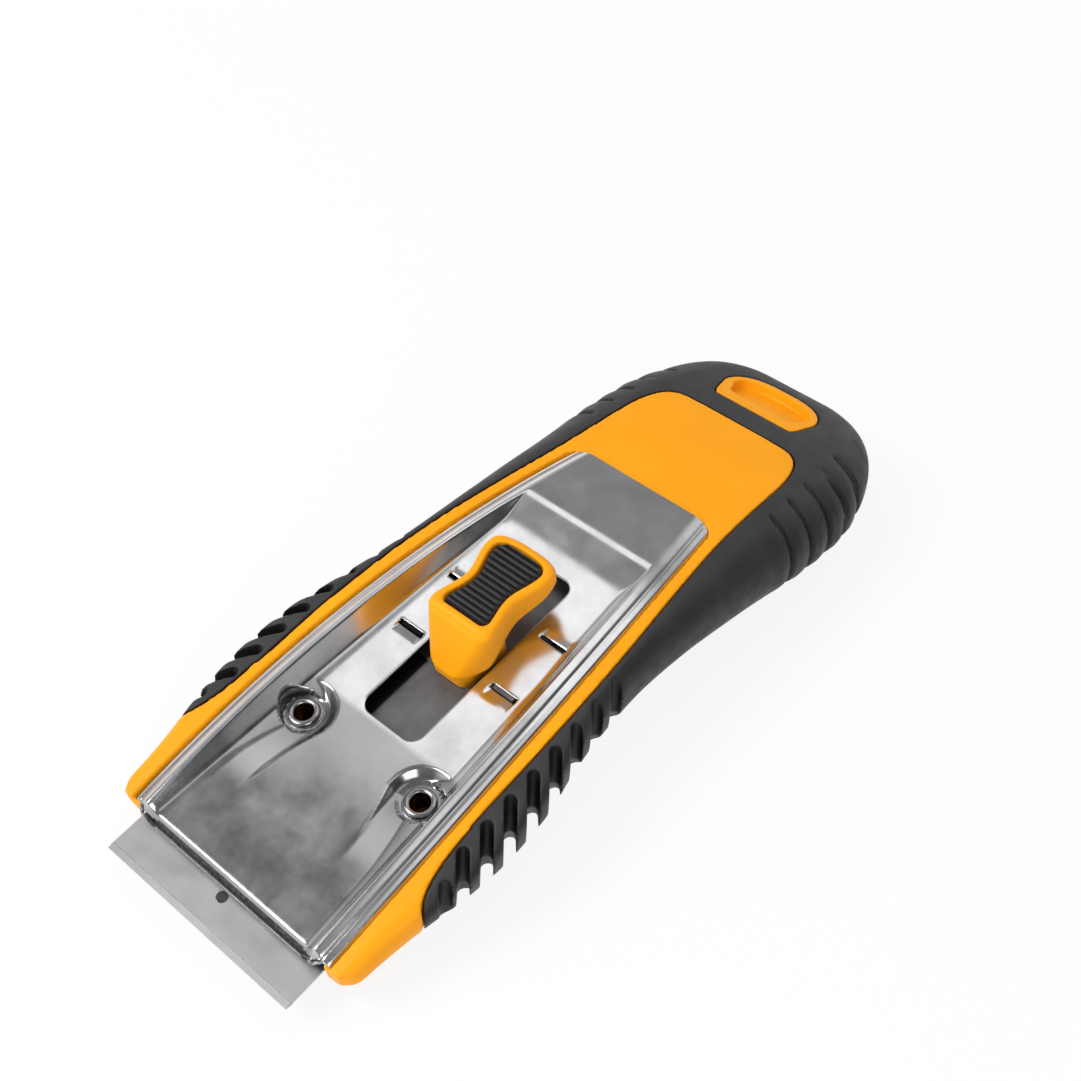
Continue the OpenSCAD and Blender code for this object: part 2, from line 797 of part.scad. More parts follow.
// Dark pad with cross ribs, set into the slider's top
module thumb_pad() {
    y0 = slider_lean + 1.7;
    y1 = slider_l - pad_margin - 0.8;
    step = (y1 - y0) / pad_ribs;
    color(charcoal) placed()
        translate([0, slider_y, slider_h - 1.1]) {
            linear_extrude(1.1)
                outline(slider_half(pad_margin + 0.1, y0));
            intersection() {
                linear_extrude(3)
                    outline(slider_half(pad_margin + 0.6, y0 + 0.2));
                for (i = [0 : pad_ribs - 1]) {
                    translate([-10, y0 + (i + 0.5) * step, 1.05])
                        rotate([0, 90, 0])
                            cylinder(r = 0.4, h = 20, $fn = 16);
                }
            }
        }
}

handle_core();
grip_overmould();
base_cover();
cover_screws();
face_plate();
bed_plate();
eyelet_left();
eyelet_right();
carriage();
blade_studs();
blade();
detent_spring();
slider_screws();
thumb_slider();
thumb_pad();
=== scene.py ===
"""Razor blade scraper: the visible pieces and their finishes, built on the construction frame."""

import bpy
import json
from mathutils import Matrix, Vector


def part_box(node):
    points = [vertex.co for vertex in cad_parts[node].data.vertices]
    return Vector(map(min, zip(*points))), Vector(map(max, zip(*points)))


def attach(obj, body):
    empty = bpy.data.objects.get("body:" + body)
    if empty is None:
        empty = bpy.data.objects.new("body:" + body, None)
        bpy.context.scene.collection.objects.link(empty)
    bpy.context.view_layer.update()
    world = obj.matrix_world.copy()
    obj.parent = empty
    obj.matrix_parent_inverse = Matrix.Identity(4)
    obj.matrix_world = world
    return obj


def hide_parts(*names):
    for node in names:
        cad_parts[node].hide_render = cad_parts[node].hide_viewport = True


bl_info = {
    "name": "Razor Blade Scraper",
    "version": (1, 0, 0),
    "blender": (4, 5, 0),
    "location": "View3D > Sidebar > Scraper",
    "description": "Builds the mouldings, pressed steel, slider and blade of a hand scraper",
    "category": "Add Mesh",
}

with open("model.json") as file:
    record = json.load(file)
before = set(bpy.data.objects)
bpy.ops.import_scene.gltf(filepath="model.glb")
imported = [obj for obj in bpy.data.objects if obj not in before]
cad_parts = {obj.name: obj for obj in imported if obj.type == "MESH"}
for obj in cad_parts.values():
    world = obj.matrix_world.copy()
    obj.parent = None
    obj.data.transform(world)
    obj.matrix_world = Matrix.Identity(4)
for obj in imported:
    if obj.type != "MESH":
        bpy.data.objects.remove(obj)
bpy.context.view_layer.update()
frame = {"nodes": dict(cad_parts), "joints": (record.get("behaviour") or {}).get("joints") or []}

import json
import math

import bmesh
import bpy
import numpy as np
from bpy.props import FloatProperty, FloatVectorProperty, IntProperty, PointerProperty
from bpy.types import Operator, Panel, PropertyGroup
from mathutils import Matrix, Vector

# Shapes are drawn in the face plate's own frame, in millimetres: y runs back from the plate's
# front edge, z stands square to the tray's floor, and z = 0 is the floor's upper side.
METRES = 0.001

# Blade and the stack under the tray's floor
BLADE_OUT = 7.7
BLADE_MID_Z = -2.65
BLADE_Z = -2.8
BLADE_HOLE_Y = -2.0
BLADE_HOLE_R = 1.0
GROUND_W = 1.1
LIP_Z = -2.2
BED_Z = -4.75

# Face plate: its outline, border, tray, slot, windows and eyelets
PLATE_HALF = 21.8
PLATE_L = 96.5
PLATE_T = 0.8
PLATE_CORNER = 2.8
SIDE_R = 575.0
SIDE_Y = 10.0
BEVEL_W = 3.3
BEVEL_H = 1.4
CREST_R = 0.3
ROLL_W, ROLL_H = 0.7, 0.45
BEAD_IN, BEAD_W, BEAD_H = 1.7, 0.32, 0.16
TRAY_HALF = 16.4
TRAY_REAR_HALF = 12.6
TRAY_L = 75.7
RAMP_L = 6.2
WALL_MIN_W = 1.2
FOOT_SHARE = 0.3
FOOT_RISE = 0.5
FOOT_R = 0.25
SLOT_X = -0.35
SLOT_HALF = 6.0
SLOT_Y = (33.4, 71.9)
SLOT_R = 2.2
WINDOW_X = 10.2
WINDOW_Y = (49.3, 61.2)
WINDOW_HALF = (2.6, 0.48)
WINDOW_R = 0.15
TAB_H = (0.4, 0.22)
TAB_L = (2.6, 2.2)
TAB_END = 0.3
DRAW_W, DRAW_H = 0.4, 0.07
EYELET_X = 12.9
EYELET_Y = 27.3
EYELET_BORE_R = 1.6
EYELET_WALL = 0.5
EYELET_R = 3.0

# Stamped seats of the eyelets: they start far forward and reach their depth at the eyelet
SEAT_Z = -1.4
SEAT_START = 7.0
SEAT_FULL = EYELET_Y - 1.0
SEAT_FADE = 2.6
SEAT_FLARE = 1.5
SEAT_R = 4.2
SEAT_FOOT_R = 0.5
SEAT_EDGE_R = 0.14
SEAT_BLEND = (8, 19)
POCKET_R = 3.5
POCKET_SLOPE = 6

# Front lip: (y, drop) down its slope and round its lower edge, where it is painted dark as shade, where it
# ends
LIP_ROWS = [(-0.95, -1.9), (-1.12, -1.86), (-1.2, -1.76), (-1.16, -1.66), (-1.02, -1.6), (-0.9, -1.54),
            (-0.55, -1.14), (-0.3, -0.82), (-0.08, -0.54), (0.1, -0.31), (0.24, -0.15), (0.4, -0.05)]
LIP_PAINTED_DARK = (-1.52, -0.62)
LIP_UNDER = -1.87
LIP_BACK = 0.2
LIP_FADE = (20.6, 18.9)
LIP_END = 0.36

# Handle: its arch, nose, panel, skin, cover, grip slots, tail grooves and inlay
ARCH_R = 300.0
ARCH_H = 2.9
ARCH_Y = 40.3
RIM_LIP = 0.4
HANDLE_L = 144.4
TAIL_Y = 120.3
NOSE_Y = -0.3
NOSE_R = 2.7
NOSE_END = 27.0
TONGUE_L = 13.4
TONGUE_W = 3.5
PANEL_L = 123.4
PANEL_CORNER = 11.0
SKIN = 2.6
CORE_IN = 3.6
FIT = 0.15
COVER_Y = (40.0, 102.0)
COVER_HALF = 15.5
COVER_CORNER = 7.0
GROOVES_FROM = 100
TAIL_GROOVE_Y = 104.5
GROOVE_W, GROOVE_H = 0.42, 1.45
SWELL_H = 0.2
GRIP_DROP = 6.0
GRIP_LEAN = 7.0
GRIP_DEPTH = 14.0
INLAY_Y = 128.9
INLAY_MID_Y = 134.0
INLAY_HALF = 10.2
INLAY_REAR = 6.1
INLAY_CORNER = [(8.2, 0), (8.6, 0.2), (8.9, 0.6), (9.25, 1.4), (9.5, 2.4)]
INLAY_LOW = -18
DISH_IN = 1.6
DISH_Y = 134.4
DISH_Z = -14.0
DISH_TURN = math.radians(-27)

# Levels and places that lie clear of the whole handle
UNDER_ALL = -40
OVER_ALL = 14
AHEAD_ALL = -30

# Thumb slider
SLIDER_Y = 46.2
SLIDER_L = 22.8
SLIDER_W = 13.2
SLIDER_H = 9.9
SLIDER_LEAN = 4.4
SLIDER_WAIST = 1.4
WAIST_Y = 12.6
NECK_HALF = 4.1
NECK_Y = (46.7, 57.6)
SLIDER_FOOT = 0.3
SLIDER_LIP = 1.0
SLIDER_FRONT_R = 2.0
SLIDER_REAR_R = 3.4
SLIDER_BLUNT = 0.36
SLIDER_REAR_KNOTS = [(SLIDER_FOOT, 11.4), (1.6, 13.2), (3.0, 16.2), (4.4, 19.6), (6.0, SLIDER_L - 0.15),
                     (7.5, SLIDER_L), (20, SLIDER_L)]
PAD_IN = 1.72
PAD_LOW = 1.6

# The tool lies on chin and heel: its tilt is the slide's, and its place follows from the blade
SLIDE_AXIS = frame["joints"][0]["axis"]
REST_TILT = math.atan2(-SLIDE_AXIS[2], -SLIDE_AXIS[1])
COS_T = math.cos(REST_TILT)
SIN_T = math.sin(REST_TILT)
MID_Y = -BLADE_OUT * COS_T - BLADE_MID_Z * SIN_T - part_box("blade")[0].y / METRES
REST_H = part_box("face_plate")[0].z / METRES - LIP_Z * COS_T


def turned(points, angle, y0=0.0):
    """Points turned about the line y = y0, z = 0."""
    p = np.array(points, float).reshape(-1, 3)
    c, s = math.cos(angle), math.sin(angle)
    y, z = p[:, 1] - y0, p[:, 2].copy()
    p[:, 1] = y0 + y * c - z * s
    p[:, 2] = y * s + z * c
    return p


def upright(points, y0=0.0):
    """Points turned so that upright means upright on the table."""
    return turned(points, -REST_TILT, y0)


def placed(points):
    """Points of the plate's frame, in millimetres, as points of the row frame in metres."""
    return (turned(points, REST_TILT) + (0, -MID_Y, REST_H)) * METRES


# Smooth steps between surfaces
def soft_min(a, b, r):
    h = np.clip(0.5 + 0.5 * (b - a) / r, 0, 1)
    return b + (a - b) * h - r * h * (1 - h)


def soft_max(a, b, r):
    return -soft_min(-a, -b, r)


def smooth_step(low, high, x):
    t = np.clip((x - low) / (high - low), 0, 1)
    return t * t * (3 - 2 * t)


def curve_through(knots, y):
    """Smooth curve through (y, value) knots, held level beyond the ends."""
    k = np.asarray(knots, float)
    x, v = k[:, 0], k[:, 1]
    m = np.gradient(v, x)
    m[1:-1] = (v[2:] - v[:-2]) / (x[2:] - x[:-2])
    y = np.clip(np.asarray(y, float), x[0], x[-1])
    i = np.clip(np.searchsorted(x, y, side="right") - 1, 0, len(x) - 2)
    h = x[i + 1] - x[i]
    t = (y - x[i]) / h
    a = (2 * t**3 - 3 * t**2 + 1) * v[i] + (t**3 - 2 * t**2 + t) * h * m[i]
    return a + (3 * t**2 - 2 * t**3) * v[i + 1] + (t**3 - t**2) * h * m[i + 1]


# Outlines along the tool
def edge_x(y):
    return PLATE_HALF - SIDE_R + np.sqrt(SIDE_R**2 - (np.asarray(y, float) - SIDE_Y) ** 2)


def arch_z(y):
    return ARCH_H - (np.asarray(y, float) - ARCH_Y) ** 2 / (2 * ARCH_R)


def table_z(y):
    return -(REST_H + np.asarray(y, float) * SIN_T) / COS_T


RIM_KNOTS = [(0, edge_x(0) + 2.0), (40, edge_x(40) + 2.3), (56, edge_x(56) + 2.6),
             (68, edge_x(68) + 2.6), (82, edge_x(82) + 2.4), (96, edge_x(96) + 2.7),
             (119, 16.8), (132, 15.8)]
FLARE_KNOTS = [(0, 1.7), (8, 2.5), (15, 3.6), (20, 4.5), (28, 5.3), (36, 5.2), (41, 4.8), (46, 3.8),
               (56, 2.7), (66, 2.7), (78, 4.3), (92, 6.65), (108, 8.74), (TAIL_Y, 9.5)]
BULGE_Z_KNOTS = [(0, -1.9), (8, -1.3), (18, -0.5), (48, -0.6), (64, -2.9), (80, -6), (96, -10.6),
                 (112, -15.2), (128, -19.2), (144, -20)]
BELLY_KNOTS = [(0, 3.3), (8, 1.5), (16, 0), (24, -0.5), (34, -0.4), (52, 2.2), (70, 4.4), (88, 3),
               (104, 0.4), (114, -0.5), (130, -0.5), (144, 0)]
SHOULDER_KNOTS = [(8, 1), (20, 0.72), (42, 0.72), (58, 1)]
ACROSS_KNOTS = [(8, 0.72), (20, 0.42), (42, 0.42), (58, 0.77)]
DOWN_KNOTS = [(8, 0.8), (20, 1), (42, 1), (58, 0.77)]


def tail_in(y):
    t = np.clip((np.asarray(y, float) - TAIL_Y) / (HANDLE_L - TAIL_Y), 0, 1)
    return np.sqrt(np.maximum(1e-6, 1 - t**2))


def nose_in(y):
    d = np.clip(NOSE_R - (np.asarray(y, float) - NOSE_Y), 0, NOSE_R)
    return NOSE_R - np.sqrt(NOSE_R**2 - d**2)


def rim_x(y):
    return curve_through(RIM_KNOTS, y) * tail_in(y) ** 0.56


def bulge_x(y):
    wide = curve_through(RIM_KNOTS, y) + curve_through(FLARE_KNOTS, y)
    return wide * tail_in(y) ** 0.56 - nose_in(y)


def bulge_z(y):
    return curve_through(BULGE_Z_KNOTS, y)


def rim_z(y):
    return bulge_z(y) + (arch_z(y) + RIM_LIP - bulge_z(y)) * tail_in(y) ** 0.45


def belly_z(y):
    low = table_z(y) + curve_through(BELLY_KNOTS, y)
    return bulge_z(y) + (low - bulge_z(y)) * tail_in(y) ** 0.45


# Mesh building
def mesh_object(name, points, faces):
    """A new object whose points are still in millimetres and whose faces look outwards."""
    mesh = bpy.data.meshes.new(name)
    mesh.from_pydata([tuple(p) for p in points], [], [tuple(f) for f in faces])
    mesh.validate()
    piece = bpy.data.objects.new(name, mesh)
    bpy.context.scene.collection.objects.link(piece)
    outwards = bmesh.new()
    outwards.from_mesh(mesh)
    bmesh.ops.recalc_face_normals(outwards, faces=outwards.faces)
    outwards.to_mesh(mesh)
    outwards.free()
    return piece


def bake_modifiers(piece):
    """Puts the result of the piece's modifiers into its own mesh."""
    view = bpy.context.evaluated_depsgraph_get()
    view.update()
    mesh = bpy.data.meshes.new_from_object(piece.evaluated_get(view), depsgraph=view)
    old = piece.data
    piece.modifiers.clear()
    piece.data = mesh
    mesh.name = piece.name
    bpy.data.meshes.remove(old)


def combine(target, cutter, operation):
    """Cuts, joins or keeps the overlap of two closed solids, and uses up the second one."""
    step = target.modifiers.new("combine", "BOOLEAN")
    step.operation = operation
    step.solver = "EXACT"
    step.object = cutter
    bake_modifiers(target)
    used_up = cutter.data
    bpy.data.objects.remove(cutter)
    bpy.data.meshes.remove(used_up)
    return target


def round_edges(piece, grain, passes, keep):
    """Evens the mesh out to small cells, rounds its edges like a moulding's and thins it again."""
    even = piece.modifiers.new("even", "REMESH")
    even.mode = "VOXEL"
    even.voxel_size = grain
    even.use_smooth_shade = True
    soften = piece.modifiers.new("soften", "SMOOTH")
    soften.factor = 0.5
    soften.iterations = passes
    thin = piece.modifiers.new("thin", "DECIMATE")
    thin.ratio = keep
    bake_modifiers(piece)
    return piece


def move_points(piece, change):
    """Puts the points of a piece's mesh through a function."""
    mesh = piece.data
    flat = np.empty(len(mesh.vertices) * 3)
    mesh.vertices.foreach_get("co", flat)
    mesh.vertices.foreach_set("co", change(flat.reshape(-1, 3)).ravel())
    mesh.update()


def finish_piece(piece, body, finish, stands_for=(), sharp_angle=None):
    """Moves a millimetre mesh to its place, shades it, and hangs it on its body."""
    move_points(piece, placed)
    mesh = piece.data
    mesh.shade_smooth()
    if sharp_angle is not None:
        mesh.set_sharp_from_angle(angle=math.radians(sharp_angle))
    if finish:
        mesh.materials.clear()
        mesh.materials.append(finish)
    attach(piece, body)
    if stands_for:
        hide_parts(*stands_for)
    return piece


def grid_faces(rows, columns, start=0, closed=False):
    """Quads over rows of points; closed joins each row's last point to its first."""
    last = columns if closed else columns - 1
    faces = []
    for j in range(rows - 1):
        for i in range(last):
            k = (i + 1) % columns
            a = start + j * columns
            faces.append((a + i, a + k, a + columns + k, a + columns + i))
    return faces


def ring_faces(count, size, start=0):
    """Faces of a closed skin over rings of equal size, with both ends capped."""
    last = start + (count - 1) * size
    caps = [tuple(range(start, start + size)), tuple(range(last, last + size))]
    return grid_faces(count, size, start, closed=True) + caps


def loft(name, rings):
    """Closed skin over rings of equal length."""
    rings = np.asarray(rings, float)
    return mesh_object(name, rings.reshape(-1, 3), ring_faces(*rings.shape[:2]))


def solid_between(name, first, second):
    """Closed solid between two grids of points."""
    rows, n = first.shape[:2]
    shift = rows * n
    faces = grid_faces(rows, n) + grid_faces(rows, n, shift)
    rim = list(range(n)) + [j * n + n - 1 for j in range(1, rows)]
    rim += [(rows - 1) * n + i for i in range(n - 2, -1, -1)]
    rim += [j * n for j in range(rows - 2, 0, -1)]
    faces += [(a, b, b + shift, a + shift) for a, b in zip(rim, rim[1:] + rim[:1])]
    return mesh_object(name, np.concatenate([first, second]).reshape(-1, 3), faces)


def handle_section(y, side, top, steps):
    """One cross-section of the handle, drawn in by side and top."""
    ns, nl = steps
    x0 = rim_x(y)
    z0 = rim_z(y) - top
    w = max(x0 + 0.1, bulge_x(y) - side)
    zc = bulge_z(y)
    zb = belly_z(y) + min(side, SKIN)
    a = np.radians(90 * np.arange(ns) / ns)
    e = curve_through(SHOULDER_KNOTS, y)
    upper = np.stack([x0 + (w - x0) * np.sin(a) ** e, zc + (z0 - zc) * np.cos(a) ** e], 1)
    b = np.radians(90 * (1 - (1 - np.arange(nl) / nl) ** 1.4))
    lower_x = w * np.cos(b) ** curve_through(ACROSS_KNOTS, y)
    lower_z = zc + (zb - zc) * np.sin(b) ** curve_through(DOWN_KNOTS, y)
    half = np.concatenate([upper, np.stack([lower_x, lower_z], 1)])
    left = half[::-1] * (-1, 1)
    ring = np.concatenate([half, [(0, zb)], left])
    return np.stack([ring[:, 0], np.full(len(ring), y), ring[:, 1]], 1)


def handle_stations(step, fine_step):
    """Places along the handle, closer at the nose, at the tail's grooves and at the tail's end."""
    nose = NOSE_Y + NOSE_R * (1 - np.cos(np.radians(np.linspace(0, 90, 9))))
    body = np.arange(NOSE_Y + NOSE_R + step, GROOVES_FROM, step)
    grooves = np.arange(GROOVES_FROM, TAIL_Y, fine_step)
    turn = np.radians(90 * (1 - np.linspace(1, 0.03, 64) ** 1.6))
    return np.concatenate([nose, body, grooves, TAIL_Y + (HANDLE_L - TAIL_Y) * np.sin(turn)])


def envelope(name, side, top, last, steps, step, shape=None):
    """The handle's outer form up to y = last, drawn in by side and top."""
    ys = [y for y in handle_stations(step, 0.3 if shape else step) if y <= last]
    rings = np.array([handle_section(y, side, top, steps) for y in ys])
    return loft(name, shape(rings) if shape else rings)


def prism(name, half_outline, bottom, top, columns=12):
    """Solid between two surfaces over a symmetric outline, given by its right half front to rear."""
    half = np.asarray(half_outline, float)
    x = half[:, :1] * np.linspace(-1, 1, columns + 1)
    y = np.repeat(half[:, 1:], columns + 1, 1)
    sheets = [np.stack([x, y, np.broadcast_to(side(x, y), x.shape)], 2) for side in (bottom, top)]
    return solid_between(name, *sheets)


def level(z):
    return lambda x, y: np.full(np.shape(x), float(z))


def rounded_half(half, first, last, corner, count=10):
    """Right half of a rectangle with round corners, front to rear."""
    a = np.radians(np.linspace(0, 90, count))
    front = np.stack([half - corner + corner * np.sin(a), first + corner - corner * np.cos(a)], 1)
    rear = np.stack([half - corner + corner * np.cos(a), last - corner + corner * np.sin(a)], 1)
    return np.concatenate([front, rear])


def open_front(x, y):
    """Side line whose first point is pulled far forward."""
    return np.stack([x, np.where(y == 0, AHEAD_ALL, y)], 1)


def plate_half_outline(out):
    r = PLATE_CORNER + out
    y1 = PLATE_L - PLATE_CORNER
    ys = np.linspace(0, y1, 80)
    a = np.radians(np.linspace(6, 90, 15))
    x1 = edge_x(y1) + out - r
    corner = np.stack([x1 + r * np.cos(a), y1 + r * np.sin(a)], 1)
    return np.concatenate([open_front(edge_x(ys) + out, ys), corner])


def core_half_outline(out):
    inside = -0.25 + out
    y1 = PANEL_L - PANEL_CORNER
    ys = np.linspace(0, y1, 120)
    a = np.radians(90 * (1 - np.linspace(1, 0.004, 40) ** 2)[1:])
    yr = y1 + (PANEL_CORNER + out) * np.sin(a)
    xr = (rim_x(y1 + PANEL_CORNER * np.sin(a)) + inside) * np.cos(a) ** 0.22
    return np.concatenate([open_front(rim_x(ys) + inside, ys), np.stack([xr, yr], 1)])


def inlay_half_outline(inset):
    front = [(x - inset, INLAY_Y + inset + dy) for x, dy in INLAY_CORNER]
    a = np.radians(90 * (1 - np.linspace(1, 0.004, 24) ** 2))
    x = (INLAY_HALF - inset) * np.cos(a) ** 0.7
    return np.concatenate([front, np.stack([x, INLAY_MID_Y + (INLAY_REAR - inset) * np.sin(a)], 1)])


def post(name, x, y, r, low, high, turns=40):
    """Upright round post."""
    a = np.linspace(0, 2 * np.pi, turns, endpoint=False)
    ring = np.stack([x + r * np.cos(a), y + r * np.sin(a)], 1)
    return loft(name, [np.column_stack([ring, np.full(turns, z)]) for z in (low, high)])


def nose_block(name, out):
    """Space of the bare nose: all of the front, and tongues that run back along the rim."""
    y0 = NOSE_END - TONGUE_L
    r = float(rim_x(NOSE_END))
    a = np.radians(np.linspace(90, 0, 31))
    tongue = np.stack([r + TONGUE_W * (1 - np.cos(a)), TONGUE_L * (1 - np.sin(a))], 1) + out
    wide, ahead = 50, -60
    inner = [(r - 1, TONGUE_L + 0.8), (r - 1, ahead)]
    ring = np.concatenate([[(wide, ahead), (wide, out)], tongue, inner])
    slab = prism(name, [(wide, y0 + ahead), (wide, y0 + out)], level(UNDER_ALL), level(20), 1)
    move_points(slab, lambda p: upright(p, y0))
    for side in (1, -1):
        plan = ring * (side, 1) + (0, y0)
        ends = [upright(np.column_stack([plan, np.full(len(plan), z)]), y0) for z in (-6, OVER_ALL)]
        combine(slab, loft(name + "_tongue", ends), "UNION")
    return slab


def under_table(name):
    """All that lies below the table."""
    slab = prism(name, [(60, -60), (60, 260)], level(-60), level(0), 1)
    move_points(slab, lambda p: upright(p - (0, 0, REST_H)))
    return slab


# Node materials
class Nodes:
    """Short way to write nodes and their links."""

    def __init__(self, tree):
        self.tree = tree

    def feed(self, socket, value):
        """Links a socket to another node's output, or gives it a value of its own."""
        if isinstance(value, bpy.types.NodeSocket):
            self.tree.links.new(value, socket)
        else:
            socket.default_value = value

    def feed_all(self, node, sockets):
        for name, value in sockets.items():
            self.feed(node.inputs[name.replace("_", " ")], value)

    def node(self, kind, **sockets):
        node = self.tree.nodes.new("ShaderNode" + kind)
        self.feed_all(node, sockets)
        return node

    def operate(self, kind, operation, *values):
        node = self.node(kind)
        node.operation = operation
        for socket, value in zip(node.inputs, values):
            self.feed(socket, value)
        return node.outputs["Value"]

    def math(self, operation, a, b):
        return self.operate("Math", operation, a, b)

    def dot(self, vector, direction):
        return self.operate("VectorMath", "DOT_PRODUCT", vector, direction)

    def ramp(self, value, low, high, out_low=0.0, out_high=1.0, kind="LINEAR"):
        ends = {"From_Min": low, "From_Max": high, "To_Min": out_low, "To_Max": out_high}
        node = self.node("MapRange", Value=value, **ends)
        node.interpolation_type = kind
        return node.outputs["Result"]


class Finish(Nodes):
    """The nodes of one material."""

    def __init__(self, name):
        self.material = bpy.data.materials.new(name)
        self.material.use_nodes = True
        super().__init__(self.material.node_tree)
        self.shader = self.tree.nodes["Principled BSDF"]
        place = self.node("TexCoord")
        self.place, self.facing = place.outputs["Object"], place.outputs["Normal"]

    def done(self, **sockets):
        """Sets or links the shader's sockets and gives the material."""
        self.feed_all(self.shader, sockets)
        return self.material

    def stretched(self, scale):
        return self.node("Mapping", Scale=scale, Vector=self.place).outputs["Vector"]

    def noise(self, size, detail=3.0, rough=0.5, vector=None):
        """Noise whose blotches are about size metres across."""
        at = vector or self.place
        return self.node("TexNoise", Scale=1 / size, Detail=detail, Roughness=rough, Vector=at).outputs["Fac"]

    def mix(self, share, a, b):
        """Colour a where share is 0 and b where it is 1."""
        node = self.node("Mix")
        node.data_type = "RGBA"
        for socket, value in (("Factor", share), (6, a), (7, b)):
            self.feed(node.inputs[socket], value)
        return node.outputs[2]

    def tones(self, share, colour, low, high):
        """Two shades of one colour: low where share is 0 and high where it is 1."""
        return self.mix(share, shade(colour, low), shade(colour, high))

    def bump(self, height, strength, distance, normal=None):
        node = self.node("Bump", Strength=strength, Distance=distance, Height=height)
        if normal:
            self.feed(node.inputs["Normal"], normal)
        return node.outputs["Normal"]

    def upward(self, low, high):
        """0 on faces that look down or sideways, 1 on those that look up."""
        return self.ramp(self.dot(self.facing, (0, 0, 1)), low, high)

    def along_plate(self, direction):
        """Distance in metres along a direction of the plate's own frame, from its front edge."""
        along = turned(direction, REST_TILT)[0]
        return self.math("SUBTRACT", self.dot(self.place, along), float(placed((0, 0, 0))[0] @ along))


def shade(colour, factor):
    return (*(min(1.0, c * factor) for c in colour), 1)


def moulded_orange(looks):
    """Satin moulded plastic: faint cloudiness and a fine spark grain."""
    f = Finish("moulded_orange")
    cloud = f.ramp(f.noise(0.018, 3), 0.35, 0.7)
    return f.done(
        Specular_IOR_Level=0.22,
        Base_Color=f.tones(cloud, looks.orange, 0.95, 1.04),
        Roughness=f.ramp(f.noise(0.004, 4, 0.6), 0.3, 0.75, 0.4, 0.56),
        Normal=f.bump(f.noise(0.00035, 2), 0.12, 0.00006))


def moulded_rubber(looks, name="moulded_rubber", tint=1.0):
    """Matte grip rubber mottled with dust, with a fine sandblasted grain, and painted light and shade:
    lighter where it looks up, darker elsewhere.
    """
    f = Finish(name)
    dust = f.ramp(f.noise(0.007, 5, 0.65), 0.35, 0.75)
    # Painted light and shade: a dark copy of the rubber for faces that look sideways or down, a light copy
    # for faces that look up
    painted_shaded_side = f.tones(dust, looks.rubber, 0.45 * tint, 0.75 * tint)
    painted_lit_top = f.tones(dust, looks.rubber, 1.5 * tint, 2.1 * tint)
    return f.done(
        Specular_IOR_Level=0.2,
        Base_Color=f.mix(f.upward(0.45, 0.95), painted_shaded_side, painted_lit_top),
        Roughness=f.ramp(f.noise(0.003, 4), 0.3, 0.7, 0.4, 0.56),
        Normal=f.bump(f.noise(0.00028, 3, 0.6), 0.3, 0.00009))


def pad_rubber(looks):
    """The thumb pad's rubber, a little paler than the grip's."""
    return moulded_rubber(looks, "pad_rubber", 1.2)


def pressed_sheet(looks):
    """Pressed sheet steel: polished, slightly wavy and smudged, with painted shade on the tray's floor ahead
    of the slot and darker painted shade on what lies below that floor.
    """
    f = Finish("pressed_sheet")
    height = f.along_plate((0, 0, 1))
    bright = f.tones(f.ramp(f.noise(0.009, 5, 0.62), 0.36, 0.68), looks.steel, 0.88, 1.05)
    # Painted shade: darker tones for the tray's floor ahead of the slot
    painted_dim_front = f.tones(f.ramp(f.noise(0.012, 4, 0.6), 0.35, 0.66), looks.steel, 0.5, 0.74)
    slot_front = SLOT_Y[0] * METRES
    fore = f.ramp(f.along_plate((0, 1, 0)), slot_front - 0.0012, slot_front - 0.0001, 1.0, 0.0)
    front = f.math("MULTIPLY", f.ramp(height, 0.0005, 0.0013, 1.0, 0.0), fore)
    # Painted shade: what lies below the floor ahead of the slot (stamped seats, eyelet heads, lip) is painted
    # at 0.42 of the steel
    sunk = f.math("MULTIPLY", f.ramp(height, -0.0009, 0.0, 1.0, 0.0), fore)
    wave = f.bump(f.noise(0.014, 2, 0.4), 0.1, 0.0005)
    lines = f.noise(0.0011, 3, 0.6, f.stretched((1, 0.12, 0.12)))
    return f.done(
        Metallic=1.0,
        Base_Color=f.mix(sunk, f.mix(front, bright, painted_dim_front), shade(looks.steel, 0.42)),
        Roughness=f.ramp(f.noise(0.006, 5, 0.6), 0.3, 0.72, 0.13, 0.25),
        Normal=f.bump(lines, 0.06, 0.00003, wave))


def cut_edge_and_painted_shade(looks):
    """Sheared edge of the sheet: torn and rough, and darkened to near black, partly as painted shade."""
    f = Finish("cut_edge_and_painted_shade")
    tear = f.noise(0.0005, 4, 0.7)
    return f.done(
        Metallic=1.0,
        Roughness=0.5,
        Base_Color=f.tones(f.ramp(tear, 0.35, 0.65), looks.steel, 0.05, 0.2),
        Normal=f.bump(tear, 0.3, 0.00005))


def blade_strip(looks):
    """Rolled strip with its ground band along the edge painted dark, as painted shade."""
    f = Finish("blade_strip")
    band = (GROUND_W - BLADE_OUT) * METRES
    # Painted shade: the ground band is darkened to 0.3 of the blade's colour
    ground = f.ramp(f.along_plate((0, 1, 0)), band, band + 0.00005, 1.0, 0.0)
    streak = f.noise(0.0006, 4, 0.6, f.stretched((0.04, 1, 1)))
    strip = f.tones(f.ramp(streak, 0.3, 0.7), looks.blade, 0.97, 1.02)
    return f.done(
        Metallic=1.0,
        Base_Color=f.mix(ground, strip, shade(looks.blade, 0.3)),
        Roughness=f.ramp(f.noise(0.005, 4), 0.3, 0.7, 0.3, 0.37),
        Normal=f.bump(streak, 0.1, 0.00002))


